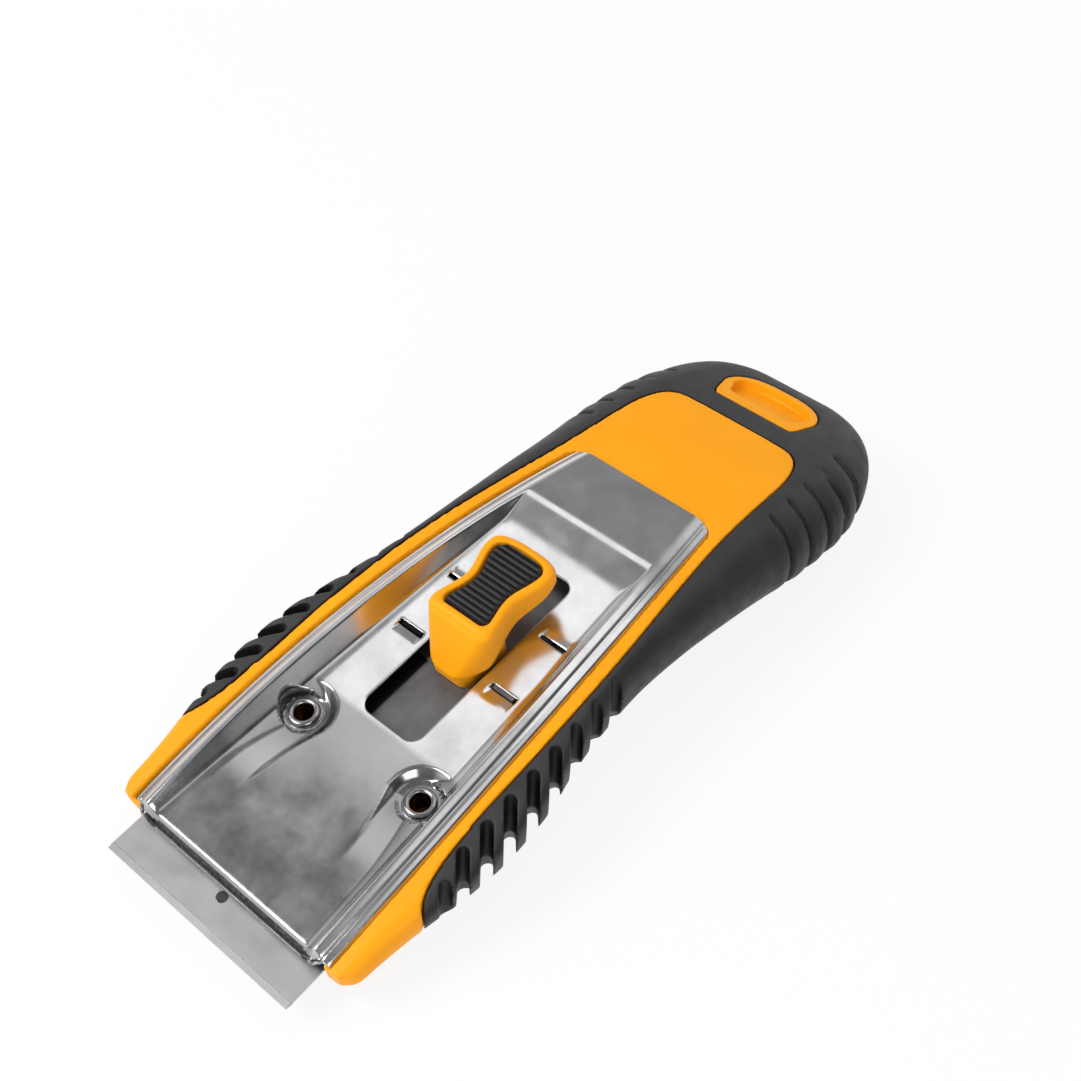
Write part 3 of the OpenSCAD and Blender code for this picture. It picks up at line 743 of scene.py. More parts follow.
def plated_strip_with_painted_shadow(looks):
    """Dull plated strip inside the tool, with a painted shadow: near black along its left edge, left of x =
    -5.3 mm in the plate's frame, where the plate beside the slot shades it.
    """
    f = Finish("plated_strip_with_painted_shadow")
    patch = f.ramp(f.noise(0.005, 5, 0.65), 0.3, 0.72)
    # Painted shadow: every piece with this finish is near black left of x = -5.3 mm in the plate's frame
    edge = f.ramp(f.along_plate((1, 0, 0)), -0.0053, -0.0049)
    tone = f.tones(patch, looks.strip, 0.8, 1.2)
    return f.done(
        Metallic=0.85,
        Base_Color=f.mix(edge, shade(looks.strip, 0.05), tone),
        Roughness=f.ramp(f.noise(0.002, 3), 0.3, 0.7, 0.42, 0.6),
        Normal=f.bump(f.noise(0.0005, 3), 0.12, 0.00004))


def grained_cover(looks):
    """Grained hard plastic of the cover under the handle."""
    f = Finish("grained_cover")
    return f.done(
        Roughness=0.5,
        Base_Color=f.tones(f.noise(0.01, 3), looks.rubber, 0.6, 0.9),
        Normal=f.bump(f.noise(0.0005, 3), 0.3, 0.0001))


def material(maker):
    """The finish that a function of the same name makes, made once."""
    return bpy.data.materials.get(maker.__name__) or maker(bpy.context.scene.scraper_looks)


# What a user would change
class ScraperShape(PropertyGroup):
    """Sizes of the visible detail, in millimetres unless a unit is given."""

    grip_slots: IntProperty(
        name="Grip slots", description="Slots on each side of the grip", default=9, min=1, max=9)
    slot_step: FloatProperty(
        name="Slot step", description="Distance from slot to slot", default=5.25, min=4.9, max=5.4)
    slot_width: FloatProperty(
        name="Slot width", description="Width of a grip slot", default=1.9, min=1.2, max=2.0)
    slot_sweep: FloatProperty(
        name="Slot sweep", description="Forward sweep of the slots in plan", subtype="ANGLE",
        default=math.radians(48), min=math.radians(40), max=math.radians(52))
    first_slot: FloatProperty(
        name="First slot", description="Place of the first slot", default=18.5, min=17, max=20)
    tail_grooves: IntProperty(
        name="Tail grooves", description="Thin grooves on the tail", default=5, min=0, max=5)
    tail_step: FloatProperty(
        name="Tail step", description="Distance between tail grooves", default=5.6, min=4, max=6)
    seam: FloatProperty(
        name="Seam", description="Open seam between soft and hard mouldings", default=0.22, min=0, max=0.4)
    bend: FloatProperty(
        name="Bend", description="Radius of the pressed creases", default=0.4, min=0.2, max=2)
    pad_ribs: IntProperty(
        name="Pad ribs", description="Ribs across the thumb pad", default=14, min=8, max=18)
    pad_rib_height: FloatProperty(
        name="Rib height", description="Height of the pad's ribs", default=0.7, min=0.1, max=0.8)


COLOUR = {"subtype": "COLOR", "size": 3}


class ScraperLooks(PropertyGroup):
    """Colours of the finishes."""

    orange: FloatVectorProperty(
        name="Orange", description="Hard moulding and slider", default=(0.98, 0.37, 0.002), **COLOUR)
    rubber: FloatVectorProperty(
        name="Rubber", description="Soft grip and thumb pad", default=(0.023, 0.023, 0.0243), **COLOUR)
    steel: FloatVectorProperty(
        name="Sheet", description="Pressed face plate", default=(0.66, 0.66, 0.67), **COLOUR)
    blade: FloatVectorProperty(
        name="Blade", description="Blade strip", default=(0.46, 0.46, 0.467), **COLOUR)
    strip: FloatVectorProperty(
        name="Carriage", description="Plated strip in the slot", default=(0.16, 0.16, 0.165), **COLOUR)


# Pressed steel
def slot_distance(x, y):
    """Signed distance to the edge of the nearest cut in the plate, below 0 inside a cut."""
    def box(cx, cy, hx, hy, r):
        qx, qy = np.abs(x - cx) - hx + r, np.abs(y - cy) - hy + r
        return np.hypot(np.maximum(qx, 0), np.maximum(qy, 0)) + np.minimum(np.maximum(qx, qy), 0) - r

    d = box(SLOT_X, sum(SLOT_Y) / 2, SLOT_HALF, (SLOT_Y[1] - SLOT_Y[0]) / 2, SLOT_R)
    for side in (-1, 1):
        for wy in WINDOW_Y:
            d = np.minimum(d, box(side * WINDOW_X, wy, *WINDOW_HALF, WINDOW_R))
        d = np.minimum(d, np.hypot(x - side * EYELET_X, y - EYELET_Y) - EYELET_BORE_R - EYELET_WALL)
    return d


def plate_height(x, y, bend):
    """Height of the pressed sheet's upper side."""
    ax = np.abs(x)
    out = edge_x(y) - ax
    crest = edge_x(y) - BEVEL_W
    crest_z = arch_z(y) + BEVEL_H
    # Border: a rolled outer edge and one shallow bead line
    border = crest_z - (ax - crest) * BEVEL_H / BEVEL_W
    border = border - ROLL_H * np.clip(1 - out / ROLL_W, 0, 1) ** 2
    border = border - BEAD_H * np.exp(-(((out - BEAD_IN) / BEAD_W) ** 2))
    cap = soft_min(crest_z, border, CREST_R)
    floor_half = TRAY_HALF - (TRAY_HALF - TRAY_REAR_HALF) * np.clip(y / TRAY_L, 0, 1)
    rise = float(arch_z(TRAY_L + RAMP_L) + BEVEL_H) / RAMP_L
    floor_z = soft_max(np.zeros_like(y), (y - TRAY_L) * rise, bend)
    # Stamped seats that run out forwards to the tray's floor
    dx, dy = ax - EYELET_X, y - EYELET_Y
    share = np.clip((y - SEAT_START) / (SEAT_FULL - SEAT_START), 0, 1) ** SEAT_FADE
    depth = SEAT_Z * share
    beside = np.minimum(dx, 0) + np.maximum(dx, 0) * (dy > 0)
    reach = np.hypot(beside, np.maximum(dy, 0)) + SEAT_FLARE * (1 - share)
    seat = soft_max(depth, depth + (reach - SEAT_R), SEAT_FOOT_R)
    sunk = soft_min(floor_z, seat, SEAT_EDGE_R)
    floor_z = floor_z + (sunk - floor_z) * smooth_step(*SEAT_BLEND, y)
    # Wall in two facets: a shallow foot and a steep upper part
    height = arch_z(np.minimum(y, TRAY_L)) + BEVEL_H
    width = np.maximum(crest - floor_half, WALL_MIN_W)
    foot = (ax - floor_half) * FOOT_RISE
    foot_w = FOOT_SHARE * width
    steep = height - (floor_half + width - ax) * (height - foot_w * FOOT_RISE) / (width - foot_w)
    wall = soft_max(foot, steep, FOOT_R)
    z = soft_min(cap, soft_max(floor_z, wall, bend), bend)
    # Round pocket of the eyelet where it bites into the wall
    pocket = SEAT_Z + np.maximum(np.hypot(dx, dy) - POCKET_R, 0) * POCKET_SLOPE
    z = soft_min(z, pocket, CREST_R)
    # Metal lanced down beside the windows, whose slits face each other
    along = smooth_step(WINDOW_HALF[0] + 0.1, WINDOW_HALF[0] - 0.15, np.abs(ax - WINDOW_X))
    for place, turn, drop, length in zip(WINDOW_Y, (1, -1), TAB_H, TAB_L):
        ahead = (place - y) * turn
        z = z - drop * along * smooth_step(length, TAB_END, ahead) * (ahead > 0)
    # Edges drawn down a little where the sheet is cut
    return z - DRAW_H * np.clip(1 - slot_distance(x, y) / DRAW_W, 0, 1) ** 2


def plate_rows():
    """Places along the plate and how far each row has turned down at the front lip."""
    rows = list(LIP_ROWS)
    y = 0.6
    while y < PLATE_L - PLATE_CORNER:
        rows.append((y, 0.0))
        # Rows stand closer at the ramp's creases, at the cuts and round the eyelets
        crease = min(abs(y - TRAY_L), abs(y - TRAY_L - RAMP_L)) < 1.0
        cut = min(abs(y - w) for w in (*SLOT_Y, *WINDOW_Y)) < 1.4
        y += 0.14 if crease else 0.2 if cut else 0.3 if 20 < y < 34 else 0.5
    turn = np.radians(np.linspace(0, 90, 14))
    return np.array(rows + [(PLATE_L - PLATE_CORNER + PLATE_CORNER * math.sin(a), 0.0) for a in turn])


def cut_points(x, y):
    """Grid points inside the plate's cuts, and those of them that border on the sheet."""
    inside = slot_distance(x, y) < 0
    sheet = np.pad(~inside, 1)
    near = np.zeros_like(inside)
    for j in range(3):
        for i in range(3):
            near |= sheet[j:j + inside.shape[0], i:i + inside.shape[1]]
    return inside, inside & near


def pulled_to_cut(x, y, edge):
    """The grid with its edge points moved onto the outline of their cut."""
    d, h = slot_distance(x, y), 0.01
    gx = (slot_distance(x + h, y) - slot_distance(x - h, y)) / (2 * h)
    gy = (slot_distance(x, y + h) - slot_distance(x, y - h)) / (2 * h)
    return np.where(edge, x - d * gx, x), np.where(edge, y - d * gy, y)


def build_face_plate(shape, finishes):
    """A grid that is cut out, pressed to its height and thickened to a sheet."""
    rows = plate_rows()
    ys, drops = rows[:, :1], rows[:, 1:]
    half_share = np.concatenate([np.linspace(0, 0.5, 36, endpoint=False), np.linspace(0.5, 1, 84)])
    share_x = np.concatenate([-half_share[:0:-1], half_share])
    corner_y = PLATE_L - PLATE_CORNER
    past = np.clip((ys - corner_y) / PLATE_CORNER, 0, 1)
    half = edge_x(np.minimum(ys, corner_y)) - PLATE_CORNER * (1 - np.sqrt(1 - past**2))
    x = half * share_x
    lip = smooth_step(*LIP_FADE, np.abs(x))
    y = np.where(ys < 0, ys * lip, ys)
    inside, edge = cut_points(x, y)
    x, y = pulled_to_cut(x, y, edge)
    z = plate_height(x, y, shape.bend) + drops * np.maximum(lip, LIP_END)
    points = np.stack([x, y, z], 2).reshape(-1, 3)
    hole, on_edge = (inside & ~edge).ravel(), edge.ravel()
    faces = []
    for face in grid_faces(*x.shape):
        corners = list(face)
        middle = points[corners].mean(0)
        cut = hole[corners].any() or (on_edge[corners].sum() > 2 and slot_distance(*middle[:2]) < 0)
        if not cut:
            faces.append(face)
    used = np.unique(np.array(faces))
    renumber = np.full(len(points), -1)
    renumber[used] = np.arange(len(used))
    piece = mesh_object("pressed_face", points[used], renumber[np.array(faces)])
    mesh = piece.data
    if sum(p.normal.z for p in mesh.polygons) < 0:
        mesh.flip_normals()
    for finish in finishes:
        mesh.materials.append(finish)
    for face in mesh.polygons:
        # The lip's slope and its lower edge take the near black edge finish, as painted shade
        low = face.center.z
        painted_dark = LIP_PAINTED_DARK[0] < low < LIP_PAINTED_DARK[1] or low < LIP_UNDER
        face.material_index = int(face.center.y < LIP_BACK and painted_dark)
    sheet = piece.modifiers.new("sheet", "SOLIDIFY")
    sheet.thickness = PLATE_T
    sheet.offset = -1
    # The cut edges take the second finish, whose near black is partly painted shade
    sheet.material_offset_rim = 1
    bake_modifiers(piece)
    return piece


class SCRAPER_OT_face_plate(Operator):
    """Press the steel face: border, tray, ramp, seats, slot and windows"""

    bl_idname = "scraper.face_plate"
    bl_label = "Face plate"

    def execute(self, context):
        finishes = material(pressed_sheet), material(cut_edge_and_painted_shade)
        piece = build_face_plate(context.scene.scraper_shape, finishes)
        finish_piece(piece, "handle", None, ["face_plate"], 50)
        return {"FINISHED"}


def build_eyelet(name, x):
    """Tubular rivet with a rolled head, turned round its bore."""
    bore, shank, flange = EYELET_BORE_R, EYELET_BORE_R + EYELET_WALL, EYELET_R - 0.1
    head, foot = SEAT_Z, BED_Z - 0.6
    profile = [(bore, foot), (bore, head + 0.1)]
    for a in np.radians(np.linspace(180, -35, 14)):
        profile.append((bore + 0.52 + 0.52 * math.cos(a), head + 0.28 + 0.48 * math.sin(a)))
    profile += [(bore + 1.02, head + 0.08), (EYELET_R - 0.25, head + 0.1), (EYELET_R - 0.06, head + 0.05),
                (EYELET_R, head - 0.06), (shank, head - 0.1), (shank, BED_Z), (flange, BED_Z),
                (flange, BED_Z - 0.4), (EYELET_R - 0.4, foot)]
    turns, n = 64, len(profile)
    points, faces = [], []
    for k in range(turns):
        a = 2 * math.pi * k / turns
        points += [(x + r * math.cos(a), EYELET_Y + r * math.sin(a), z) for r, z in profile]
        m = (k + 1) % turns
        faces += [(k * n + i, k * n + (i + 1) % n, m * n + (i + 1) % n, m * n + i) for i in range(n)]
    return mesh_object(name, points, faces)


class SCRAPER_OT_eyelets(Operator):
    """Roll the two eyelets that hold the cassette together"""

    bl_idname = "scraper.eyelets"
    bl_label = "Eyelets"

    def execute(self, context):
        steel = material(pressed_sheet)
        for side, x in (("left", -EYELET_X), ("right", EYELET_X)):
            piece = build_eyelet("rolled_eyelet_" + side, x)
            finish_piece(piece, "handle", steel, ["eyelet_" + side], 40)
        return {"FINISHED"}


# Mouldings
def core_body(name, top, out):
    """The core without its nose, within the panel's outline."""
    body = envelope(name, CORE_IN, top, 130, (4, 14), 1.6)
    plan = prism(name + "_plan", core_half_outline(out), level(UNDER_ALL), level(OVER_ALL), 2)
    return combine(body, plan, "INTERSECT")


def recess_floor(x, y):
    """Underside of the plate's border, with a little room."""
    border = arch_z(y) + (edge_x(y) - np.abs(x)) * BEVEL_H / BEVEL_W
    return soft_min(arch_z(y) + BEVEL_H, border, CREST_R) - PLATE_T - 0.05


def build_core():
    """Hard moulding: nose, rim and panel, with the recess for the steel and the well under it."""
    core = core_body("orange_core", 0, 0)
    nose = envelope("nose", 0, 0, 34, (14, 22), 0.6)
    combine(nose, nose_block("nose_space", 0), "INTERSECT")
    combine(core, nose, "UNION")
    recess = prism("recess", plate_half_outline(FIT), recess_floor, level(OVER_ALL), 40)
    combine(core, recess, "DIFFERENCE")
    ys = np.linspace(0, TRAY_L + RAMP_L + 5, 40)
    well = prism("well", open_front(edge_x(ys) - 1.4, ys), level(BED_Z), level(OVER_ALL), 2)
    combine(core, well, "DIFFERENCE")
    for side in (-1, 1):
        combine(core, post("eyelet_hole", side * EYELET_X, EYELET_Y, EYELET_R, -11, 2), "DIFFERENCE")
    combine(core, under_table("core_table"), "DIFFERENCE")
    return round_edges(core, grain=0.27, passes=5, keep=0.3)


def build_inlay():
    """D-shaped inlay with a dish that deepens to the rear."""
    inlay = prism("tail_inlay", inlay_half_outline(0), level(INLAY_LOW), lambda x, y: rim_z(y), 24)
    dish = prism("dish", inlay_half_outline(DISH_IN), level(0), level(6), 2)
    move_points(dish, lambda p: turned(p, DISH_TURN, DISH_Y) + (0, 0, DISH_Z))
    combine(inlay, dish, "DIFFERENCE")
    return round_edges(inlay, grain=0.16, passes=6, keep=0.5)


class SCRAPER_OT_core(Operator):
    """Mould the hard orange core with its nose, rim, panel and inlay"""

    bl_idname = "scraper.core"
    bl_label = "Orange core"

    def execute(self, context):
        plastic = material(moulded_orange)
        finish_piece(build_core(), "handle", plastic, ["handle_core"])
        finish_piece(build_inlay(), "handle", plastic)
        return {"FINISHED"}


def tail_relief(rings, shape):
    """Swells the tail between thin grooves that lean back at the top."""
    x, y, z = rings[..., 0], rings[..., 1], rings[..., 2]
    mask = smooth_step(2.2, 4.0, np.abs(x) - rim_x(y)) * smooth_step(-3.5, 0.5, z - belly_z(y) - 3.5)
    drop = np.clip((rim_z(y) - z) / 12, 0, 1.2)
    lean = 2.4 - 2.0 * drop + 0.6 * drop**2
    step, count = shape.tail_step, shape.tail_grooves
    phase = (y - TAIL_GROOVE_Y - lean) / step
    gap = (phase - np.clip(np.round(phase), 0, count - 1)) * step
    among = (phase > -0.5) & (phase < count - 0.5)
    swell = np.where(among, np.cos(np.pi * np.clip(gap / step, -0.5, 0.5)), 0)
    groove = np.exp(-((gap / GROOVE_W) ** 2))
    push = mask * (SWELL_H * (1 - swell) * smooth_step(-0.9, 0, phase) - GROOVE_H * groove)
    rise = 0.6 * (z - bulge_z(y))
    away = np.maximum(np.hypot(x, rise), 1e-6)
    return np.stack([x + push * (x / away), y, z + push * (rise / away)], -1)


def grip_slots(shape):
    """All slots of the grip as one cutter: round ends that drop upright, then lean in."""
    r = shape.slot_width / 2
    arc = np.radians(np.linspace(90, 270, 13))
    c, s = math.cos(-shape.slot_sweep), math.sin(-shape.slot_sweep)
    points, faces = [], []
    for i in range(shape.grip_slots):
        y0 = shape.first_slot + i * shape.slot_step
        # The first slots keep off the core, which is wide there
        x0 = float(rim_x(y0)) + r + (0.8 if i else 2.2)
        tuck = GRIP_LEAN * min(1, 0.35 + 0.22 * i)
        block = []
        for z, back in ((24, 0), (-GRIP_DROP, 0), (-GRIP_DROP - GRIP_DEPTH, -tuck)):
            plan = [(30, r)] + [(back + r * math.cos(a), r * math.sin(a)) for a in arc] + [(30, -r)]
            block += [(c * u - s * v, s * u + c * v, z) for u, v in plan]
        right = upright(block) + (x0, y0, 0)
        for side in (1, -1):
            faces += ring_faces(3, len(plan), len(points))
            points += [tuple(p) for p in right * (side, 1, 1)]
    return mesh_object("grip_slots", points, faces)


def build_grip(shape):
    """Soft skin round the core, slotted at the grip and grooved at the tail."""
    grip = envelope("soft_grip", 0, 0, HANDLE_L, (14, 24), 0.7, lambda rings: tail_relief(rings, shape))
    inlay = inlay_half_outline(-shape.seam)
    cover = rounded_half(COVER_HALF + FIT, COVER_Y[0] - FIT, COVER_Y[1] + FIT, COVER_CORNER)
    for cutter in (
        nose_block("grip_nose", shape.seam),
        core_body("core_space", -3, shape.seam),
        prism("inlay_space", inlay, level(INLAY_LOW - 0.2), level(4), 2),
        prism("cover_space", cover, level(UNDER_ALL), level(-4), 2),
        grip_slots(shape),
        under_table("grip_table"),
    ):
        combine(grip, cutter, "DIFFERENCE")
    return round_edges(grip, grain=0.24, passes=4, keep=0.25)


class SCRAPER_OT_grip(Operator):
    """Mould the soft grip over the core"""

    bl_idname = "scraper.grip"
    bl_label = "Soft grip"

    def execute(self, context):
        grip = build_grip(context.scene.scraper_shape)
        rubber = material(moulded_rubber)
        finish_piece(grip, "handle", rubber, ["grip_overmould"])
        return {"FINISHED"}


# Thumb slider
def slider_plan_half(y, inset):
    """Half width of the slider's waisted plan at y from its front."""
    w = SLIDER_W / 2 - inset
    knots = [(0, w - 2.3), (1.8, w - 1.4), (5.4, w - 0.1), (WAIST_Y, w - SLIDER_WAIST),
             (SLIDER_L - 4.6, w), (SLIDER_L, w)]
    return curve_through(knots, y)


def slider_top(y):
    knots = [(SLIDER_LEAN, SLIDER_H), (WAIST_Y, SLIDER_H - 0.3), (20, SLIDER_H), (SLIDER_L, SLIDER_H - 0.6)]
    return curve_through(knots, y)


def slider_ring(front, rear, narrow, inset, front_r, rear_r, count=60, blunt=SLIDER_BLUNT):
    """Closed outline of the slider's plan between front and rear, drawn in by inset."""
    t = np.linspace(0, 1, count)
    share = 0.5 - 0.5 * np.cos(np.pi * t)
    y = front + inset + (rear - front - 2 * inset) * share
    w = slider_plan_half(y, inset) - narrow
    q = np.clip((y - front - inset) / front_r, 0, 1)
    p = np.clip((rear - inset - y) / rear_r, 0, 1)
    w = w - front_r * 0.8 * (1 - np.sqrt(1 - (1 - q) ** 2))
    w = w * np.maximum(1 - (1 - p) ** 3, 0) ** blunt
    right = np.stack([w, y], 1)
    left = right[::-1] * (-1, 1)
    return np.concatenate([right, left])


def build_slider():
    """Slider with a leaning front, waisted sides, a lifted rear and a rounded lip round the pad."""
    rings = []

    def add(ring, z):
        rings.append(np.stack([ring[:, 0], SLIDER_Y + ring[:, 1], np.broadcast_to(z, len(ring))], 1))

    low = SLIDER_FOOT
    wall = np.linspace(low + 0.8, SLIDER_H - SLIDER_LIP, 18)
    for z in np.concatenate([[low, low + 0.12, low + 0.3], wall]):
        t = (z - low) / (SLIDER_H - low)
        rear = float(curve_through(SLIDER_REAR_KNOTS, z))
        tuck = 0.25 * max(0.0, 1 - (z - low) / 0.3) ** 2
        narrow = 0.9 * (1 - min(1, z / (SLIDER_H - 1.5))) + tuck
        rear_r = SLIDER_REAR_R + 6.4 * max(0.0, 1 - z / 7.0)
        blunt = SLIDER_BLUNT + 0.22 * max(0.0, 1 - z / 6.0)
        ring = slider_ring(SLIDER_LEAN * t, rear, narrow, 0, SLIDER_FRONT_R, rear_r, blunt=blunt)
        add(ring, z + (slider_top(ring[:, 1]) - SLIDER_H) * t)
    for a in np.radians(np.linspace(15, 90, 7)):
        inset = 0.85 * (1 - math.cos(a))
        ring = slider_ring(SLIDER_LEAN, SLIDER_L, 0, inset, SLIDER_FRONT_R, SLIDER_REAR_R)
        add(ring, slider_top(ring[:, 1]) - SLIDER_LIP + 0.95 * math.sin(a))
    for inset, down in ((1.2, 0.05), (1.42, 0.14), (1.56, 0.34), (1.6, 1.1)):
        ring = slider_ring(SLIDER_LEAN, SLIDER_L, 0, inset, 1.8, 3.0)
        add(ring, slider_top(ring[:, 1]) - down)
    slider = loft("orange_slider", rings)
    neck = rounded_half(NECK_HALF, *NECK_Y, 2.0)
    return combine(slider, prism("neck", neck, level(BLADE_Z + 0.35), level(0.42), 2), "UNION")


def build_pad(shape):
    """Waisted pad whose cross ribs fade out at its edge."""
    rows, columns = 220, 45
    rim = slider_ring(SLIDER_LEAN, SLIDER_L, 0, PAD_IN, 1.6, 2.8, rows)[:rows]
    share = np.linspace(-1, 1, columns)
    x = rim[:, :1] * share
    y = np.repeat(rim[:, 1:], columns, 1)
    first, last = rim[0, 1], rim[-1, 1]
    from_rib = ((y - first) / ((last - first) / shape.pad_ribs)) % 1 - 0.5
    wave = np.sqrt(np.maximum(0, 1 - (from_rib / 0.34) ** 2))
    from_side = (1 - np.abs(share)) * np.maximum(rim[:, :1], 0.01)
    from_edge = np.minimum(from_side, np.minimum(y - first, last - y))
    top = slider_top(y) - 0.95 + 0.3 * smooth_step(0, 0.3, from_edge)
    top = top + shape.pad_rib_height * smooth_step(0.0, 0.75, from_edge) * wave
    high, low = (np.stack([x, SLIDER_Y + y, z], 2) for z in (top, np.full(x.shape, SLIDER_H - PAD_LOW)))
    return solid_between("ribbed_pad", high, low)


class SCRAPER_OT_slider(Operator):
    """Mould the thumb slider and its ribbed pad"""

    bl_idname = "scraper.slider"
    bl_label = "Thumb slider"

    def execute(self, context):
        plastic, rubber = material(moulded_orange), material(pad_rubber)
        finish_piece(build_slider(), "blade_slider", plastic, ["thumb_slider"], 55)
        pad = build_pad(context.scene.scraper_shape)
        finish_piece(pad, "blade_slider", rubber, ["thumb_pad"], 60)
        return {"FINISHED"}


# Pieces that keep their construction shape
KEPT_FINISHES = {
    "blade": blade_strip,
    "carriage": plated_strip_with_painted_shadow,
    "bed_plate": plated_strip_with_painted_shadow,
    "blade_studs": plated_strip_with_painted_shadow,
    "detent_spring": plated_strip_with_painted_shadow,
    "slider_screws": plated_strip_with_painted_shadow,
    "base_cover": grained_cover,
    "cover_screws": plated_strip_with_painted_shadow,
}


class SCRAPER_OT_works(Operator):
    """Finish the blade, the carriage and what else works inside, and plug the blade's hole in near black as
    painted shade
    """

    bl_idname = "scraper.works"
    bl_label = "Blade and works"

    def execute(self, context):
        # Painted shade: a near black plug in the blade's hole stands in for the shade inside it
        low, high = BLADE_Z - 0.25, BLADE_Z + 0.2
        shade_plug = post("blade_hole_shade_plug", 0, BLADE_HOLE_Y, BLADE_HOLE_R - 0.06, low, high)
        finish_piece(shade_plug, "blade_slider", material(grained_cover), (), 30)
        for name, maker in KEPT_FINISHES.items():
            slots = frame["nodes"][name].data.materials
            slots.clear()
            slots.append(material(maker))
        return {"FINISHED"}


# Stage
CAMERA_AT = (0.11455, -0.13898, 0.20539)
CAMERA_AZIMUTH = math.radians(39.63)
CAMERA_ELEVATION = math.radians(44.64)
CAMERA_ROLL = math.radians(2.463)
CAMERA_LENS = 51.84
CAMERA_SHIFT = (-0.0018, 0.0023)


def make_camera(scene):
    data = bpy.data.cameras.new("camera")
    data.lens = CAMERA_LENS
    data.sensor_width = 36
    data.shift_x, data.shift_y = CAMERA_SHIFT
    data.clip_start = 0.01
    level_part = math.cos(CAMERA_ELEVATION)
    back = Vector((math.sin(CAMERA_AZIMUTH) * level_part, -math.cos(CAMERA_AZIMUTH) * level_part,
                   math.sin(CAMERA_ELEVATION)))
    right = (-back).cross(Vector((0, 0, 1))).normalized()
    up = right.cross(-back)
    c, s = math.cos(CAMERA_ROLL), math.sin(CAMERA_ROLL)
    columns = Matrix((c * right + s * up, -s * right + c * up, back)).transposed()
    camera = bpy.data.objects.new("camera", data)
    camera.matrix_world = Matrix.Translation(CAMERA_AT) @ columns.to_4x4()
    scene.collection.objects.link(camera)
    scene.camera = camera


# Soft boxes: name, direction from the tool, distance, width and height, power
LAMPS = (
    ("key", (-0.4, -0.55, 0.73), 0.8, (0.35, 0.35), 4.3),
    ("strip", (-0.1, 0.38, 1.0), 1.07, (1.45, 0.38), 1.9),
    ("fill", (0.75, -0.5, 0.42), 0.9, (0.5, 0.4), 2.2),
)


def area_light(name, towards, distance, size, power):
    """Soft box that looks at the tool from a direction."""
    data = bpy.data.lights.new(name, "AREA")
    data.shape = "RECTANGLE"
    data.size, data.size_y = size
    data.energy = power
    lamp = bpy.data.objects.new(name, data)
    direction = Vector(towards).normalized()
    lamp.location = direction * distance
    lamp.rotation_euler = (-direction).to_track_quat("-Z", "Y").to_euler()
    bpy.context.scene.collection.objects.link(lamp)


def seen_directly(nodes):
    """1 for camera, glossy and transmission rays."""
    path = nodes.node("LightPath").outputs
    seen = path["Is Camera Ray"]
    for kind in ("Is Glossy Ray", "Is Transmission Ray"):
        seen = nodes.math("MAXIMUM", seen, path[kind])
    return seen


# Soft panels of the studio dome: direction, half angle of the even part and of its edge, and
# brightness. The second is a dark flag, and the last one is the white horizon.
PANELS = (
    ((-0.92, 0.3, 0.2), 14, 34, 0.42),
    ((0.86, 0.3, 0.28), 16, 40, -0.23),
    ((0.05, 0.9, 0.42), 12, 30, 0.7),
    ((-0.5, -0.85, 0.2), 10, 30, 0.5),
    ((0.38, 0.06, 0.92), 7, 15, 0.7),
    ((0, 0, -1), 96, 104, 0.7),
)
DOME = 0.3
FLOOR_R = 30.0
FLOOR_GAP = 0.0001
FLOOR_FADE = (0.08, 0.5)
FLOOR_NEAR = 0.88
FLOOR_GREY = (0.9, 0.9, 0.9, 1)
WHITE = (1, 1, 1, 1)


def make_world(scene):
    """Even dome with a few soft panels and a white horizon, the same for every kind of ray."""
    world = bpy.data.worlds.new("studio")
    world.use_nodes = True
    nodes = Nodes(world.node_tree)
    nodes.tree.nodes.clear()
    towards = nodes.node("TexCoord").outputs["Generated"]
    light = DOME
    for direction, inner, outer, strength in PANELS:
        along = nodes.dot(towards, Vector(direction).normalized())
        rim, heart = (math.cos(math.radians(angle)) for angle in (outer, inner))
        light = nodes.math("ADD", nodes.ramp(along, rim, heart, 0, strength, "SMOOTHSTEP"), light)
    dome = nodes.node("Background", Color=WHITE, Strength=light)
    nodes.node("OutputWorld", Surface=dome.outputs[0])
    scene.world = world


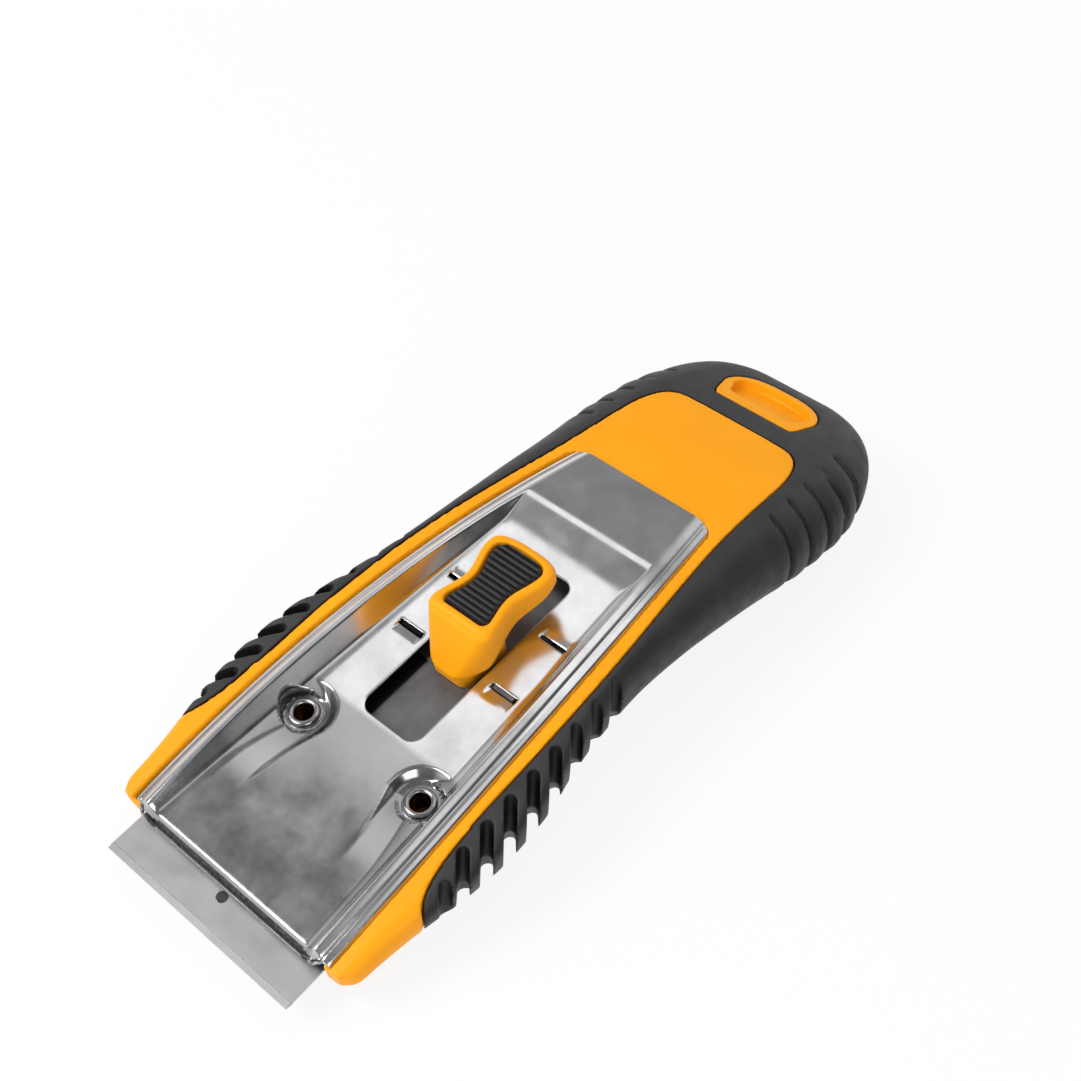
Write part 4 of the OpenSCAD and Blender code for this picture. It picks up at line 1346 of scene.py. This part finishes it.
def make_floor():
    """Wide white floor just under the object; it keeps a soft shadow near it."""
    turns = np.radians(np.arange(0, 360, 5))
    rim = [(FLOOR_R * math.cos(a), FLOOR_R * math.sin(a), -FLOOR_GAP) for a in turns]
    floor = mesh_object("floor", rim, [range(len(rim))])
    finish = bpy.data.materials.new("pale_floor")
    finish.use_nodes = True
    nodes = Nodes(finish.node_tree)
    nodes.tree.nodes.clear()
    away = nodes.operate("VectorMath", "LENGTH", nodes.node("TexCoord").outputs["Object"])
    white = nodes.ramp(away, *FLOOR_FADE, FLOOR_NEAR, 1.0, "SMOOTHSTEP")
    share = nodes.math("MULTIPLY", seen_directly(nodes), white)
    matt = nodes.node("BsdfDiffuse", Color=FLOOR_GREY).outputs[0]
    glow = nodes.node("Emission", Color=WHITE).outputs[0]
    mix = nodes.node("MixShader")
    for socket, source in zip(mix.inputs, (share, matt, glow)):
        nodes.feed(socket, source)
    nodes.node("OutputMaterial", Surface=mix.outputs[0])
    floor.data.materials.append(finish)


class SCRAPER_OT_stage(Operator):
    """Set up floor, soft light and the camera"""

    bl_idname = "scraper.stage"
    bl_label = "Stage"

    def execute(self, context):
        scene = context.scene
        scene.view_settings.view_transform = "Standard"
        make_camera(scene)
        make_world(scene)
        make_floor()
        for lamp in LAMPS:
            area_light(*lamp)
        return {"FINISHED"}


OPERATORS = (
    SCRAPER_OT_stage,
    SCRAPER_OT_face_plate,
    SCRAPER_OT_eyelets,
    SCRAPER_OT_core,
    SCRAPER_OT_grip,
    SCRAPER_OT_slider,
    SCRAPER_OT_works,
)


class SCRAPER_PT_pieces(Panel):
    """Lists the pieces and what can be changed"""

    bl_idname = "SCRAPER_PT_pieces"
    bl_label = "Razor blade scraper"
    bl_space_type = "VIEW_3D"
    bl_region_type = "UI"
    bl_category = "Scraper"

    def draw(self, context):
        column = self.layout.column()
        for group in (context.scene.scraper_shape, context.scene.scraper_looks):
            for name in group.__annotations__:
                column.prop(group, name)
        for operator in OPERATORS:
            column.operator(operator.bl_idname)


CLASSES = (ScraperShape, ScraperLooks, *OPERATORS, SCRAPER_PT_pieces)


def register():
    for item in CLASSES:
        bpy.utils.register_class(item)
    bpy.types.Scene.scraper_shape = PointerProperty(type=ScraperShape)
    bpy.types.Scene.scraper_looks = PointerProperty(type=ScraperLooks)


def unregister():
    del bpy.types.Scene.scraper_looks
    del bpy.types.Scene.scraper_shape
    for item in reversed(CLASSES):
        bpy.utils.unregister_class(item)


def main():
    register()
    for operator in OPERATORS:
        group, name = operator.bl_idname.split(".")
        getattr(getattr(bpy.ops, group), name)()


if __name__ == "__main__":
    main()
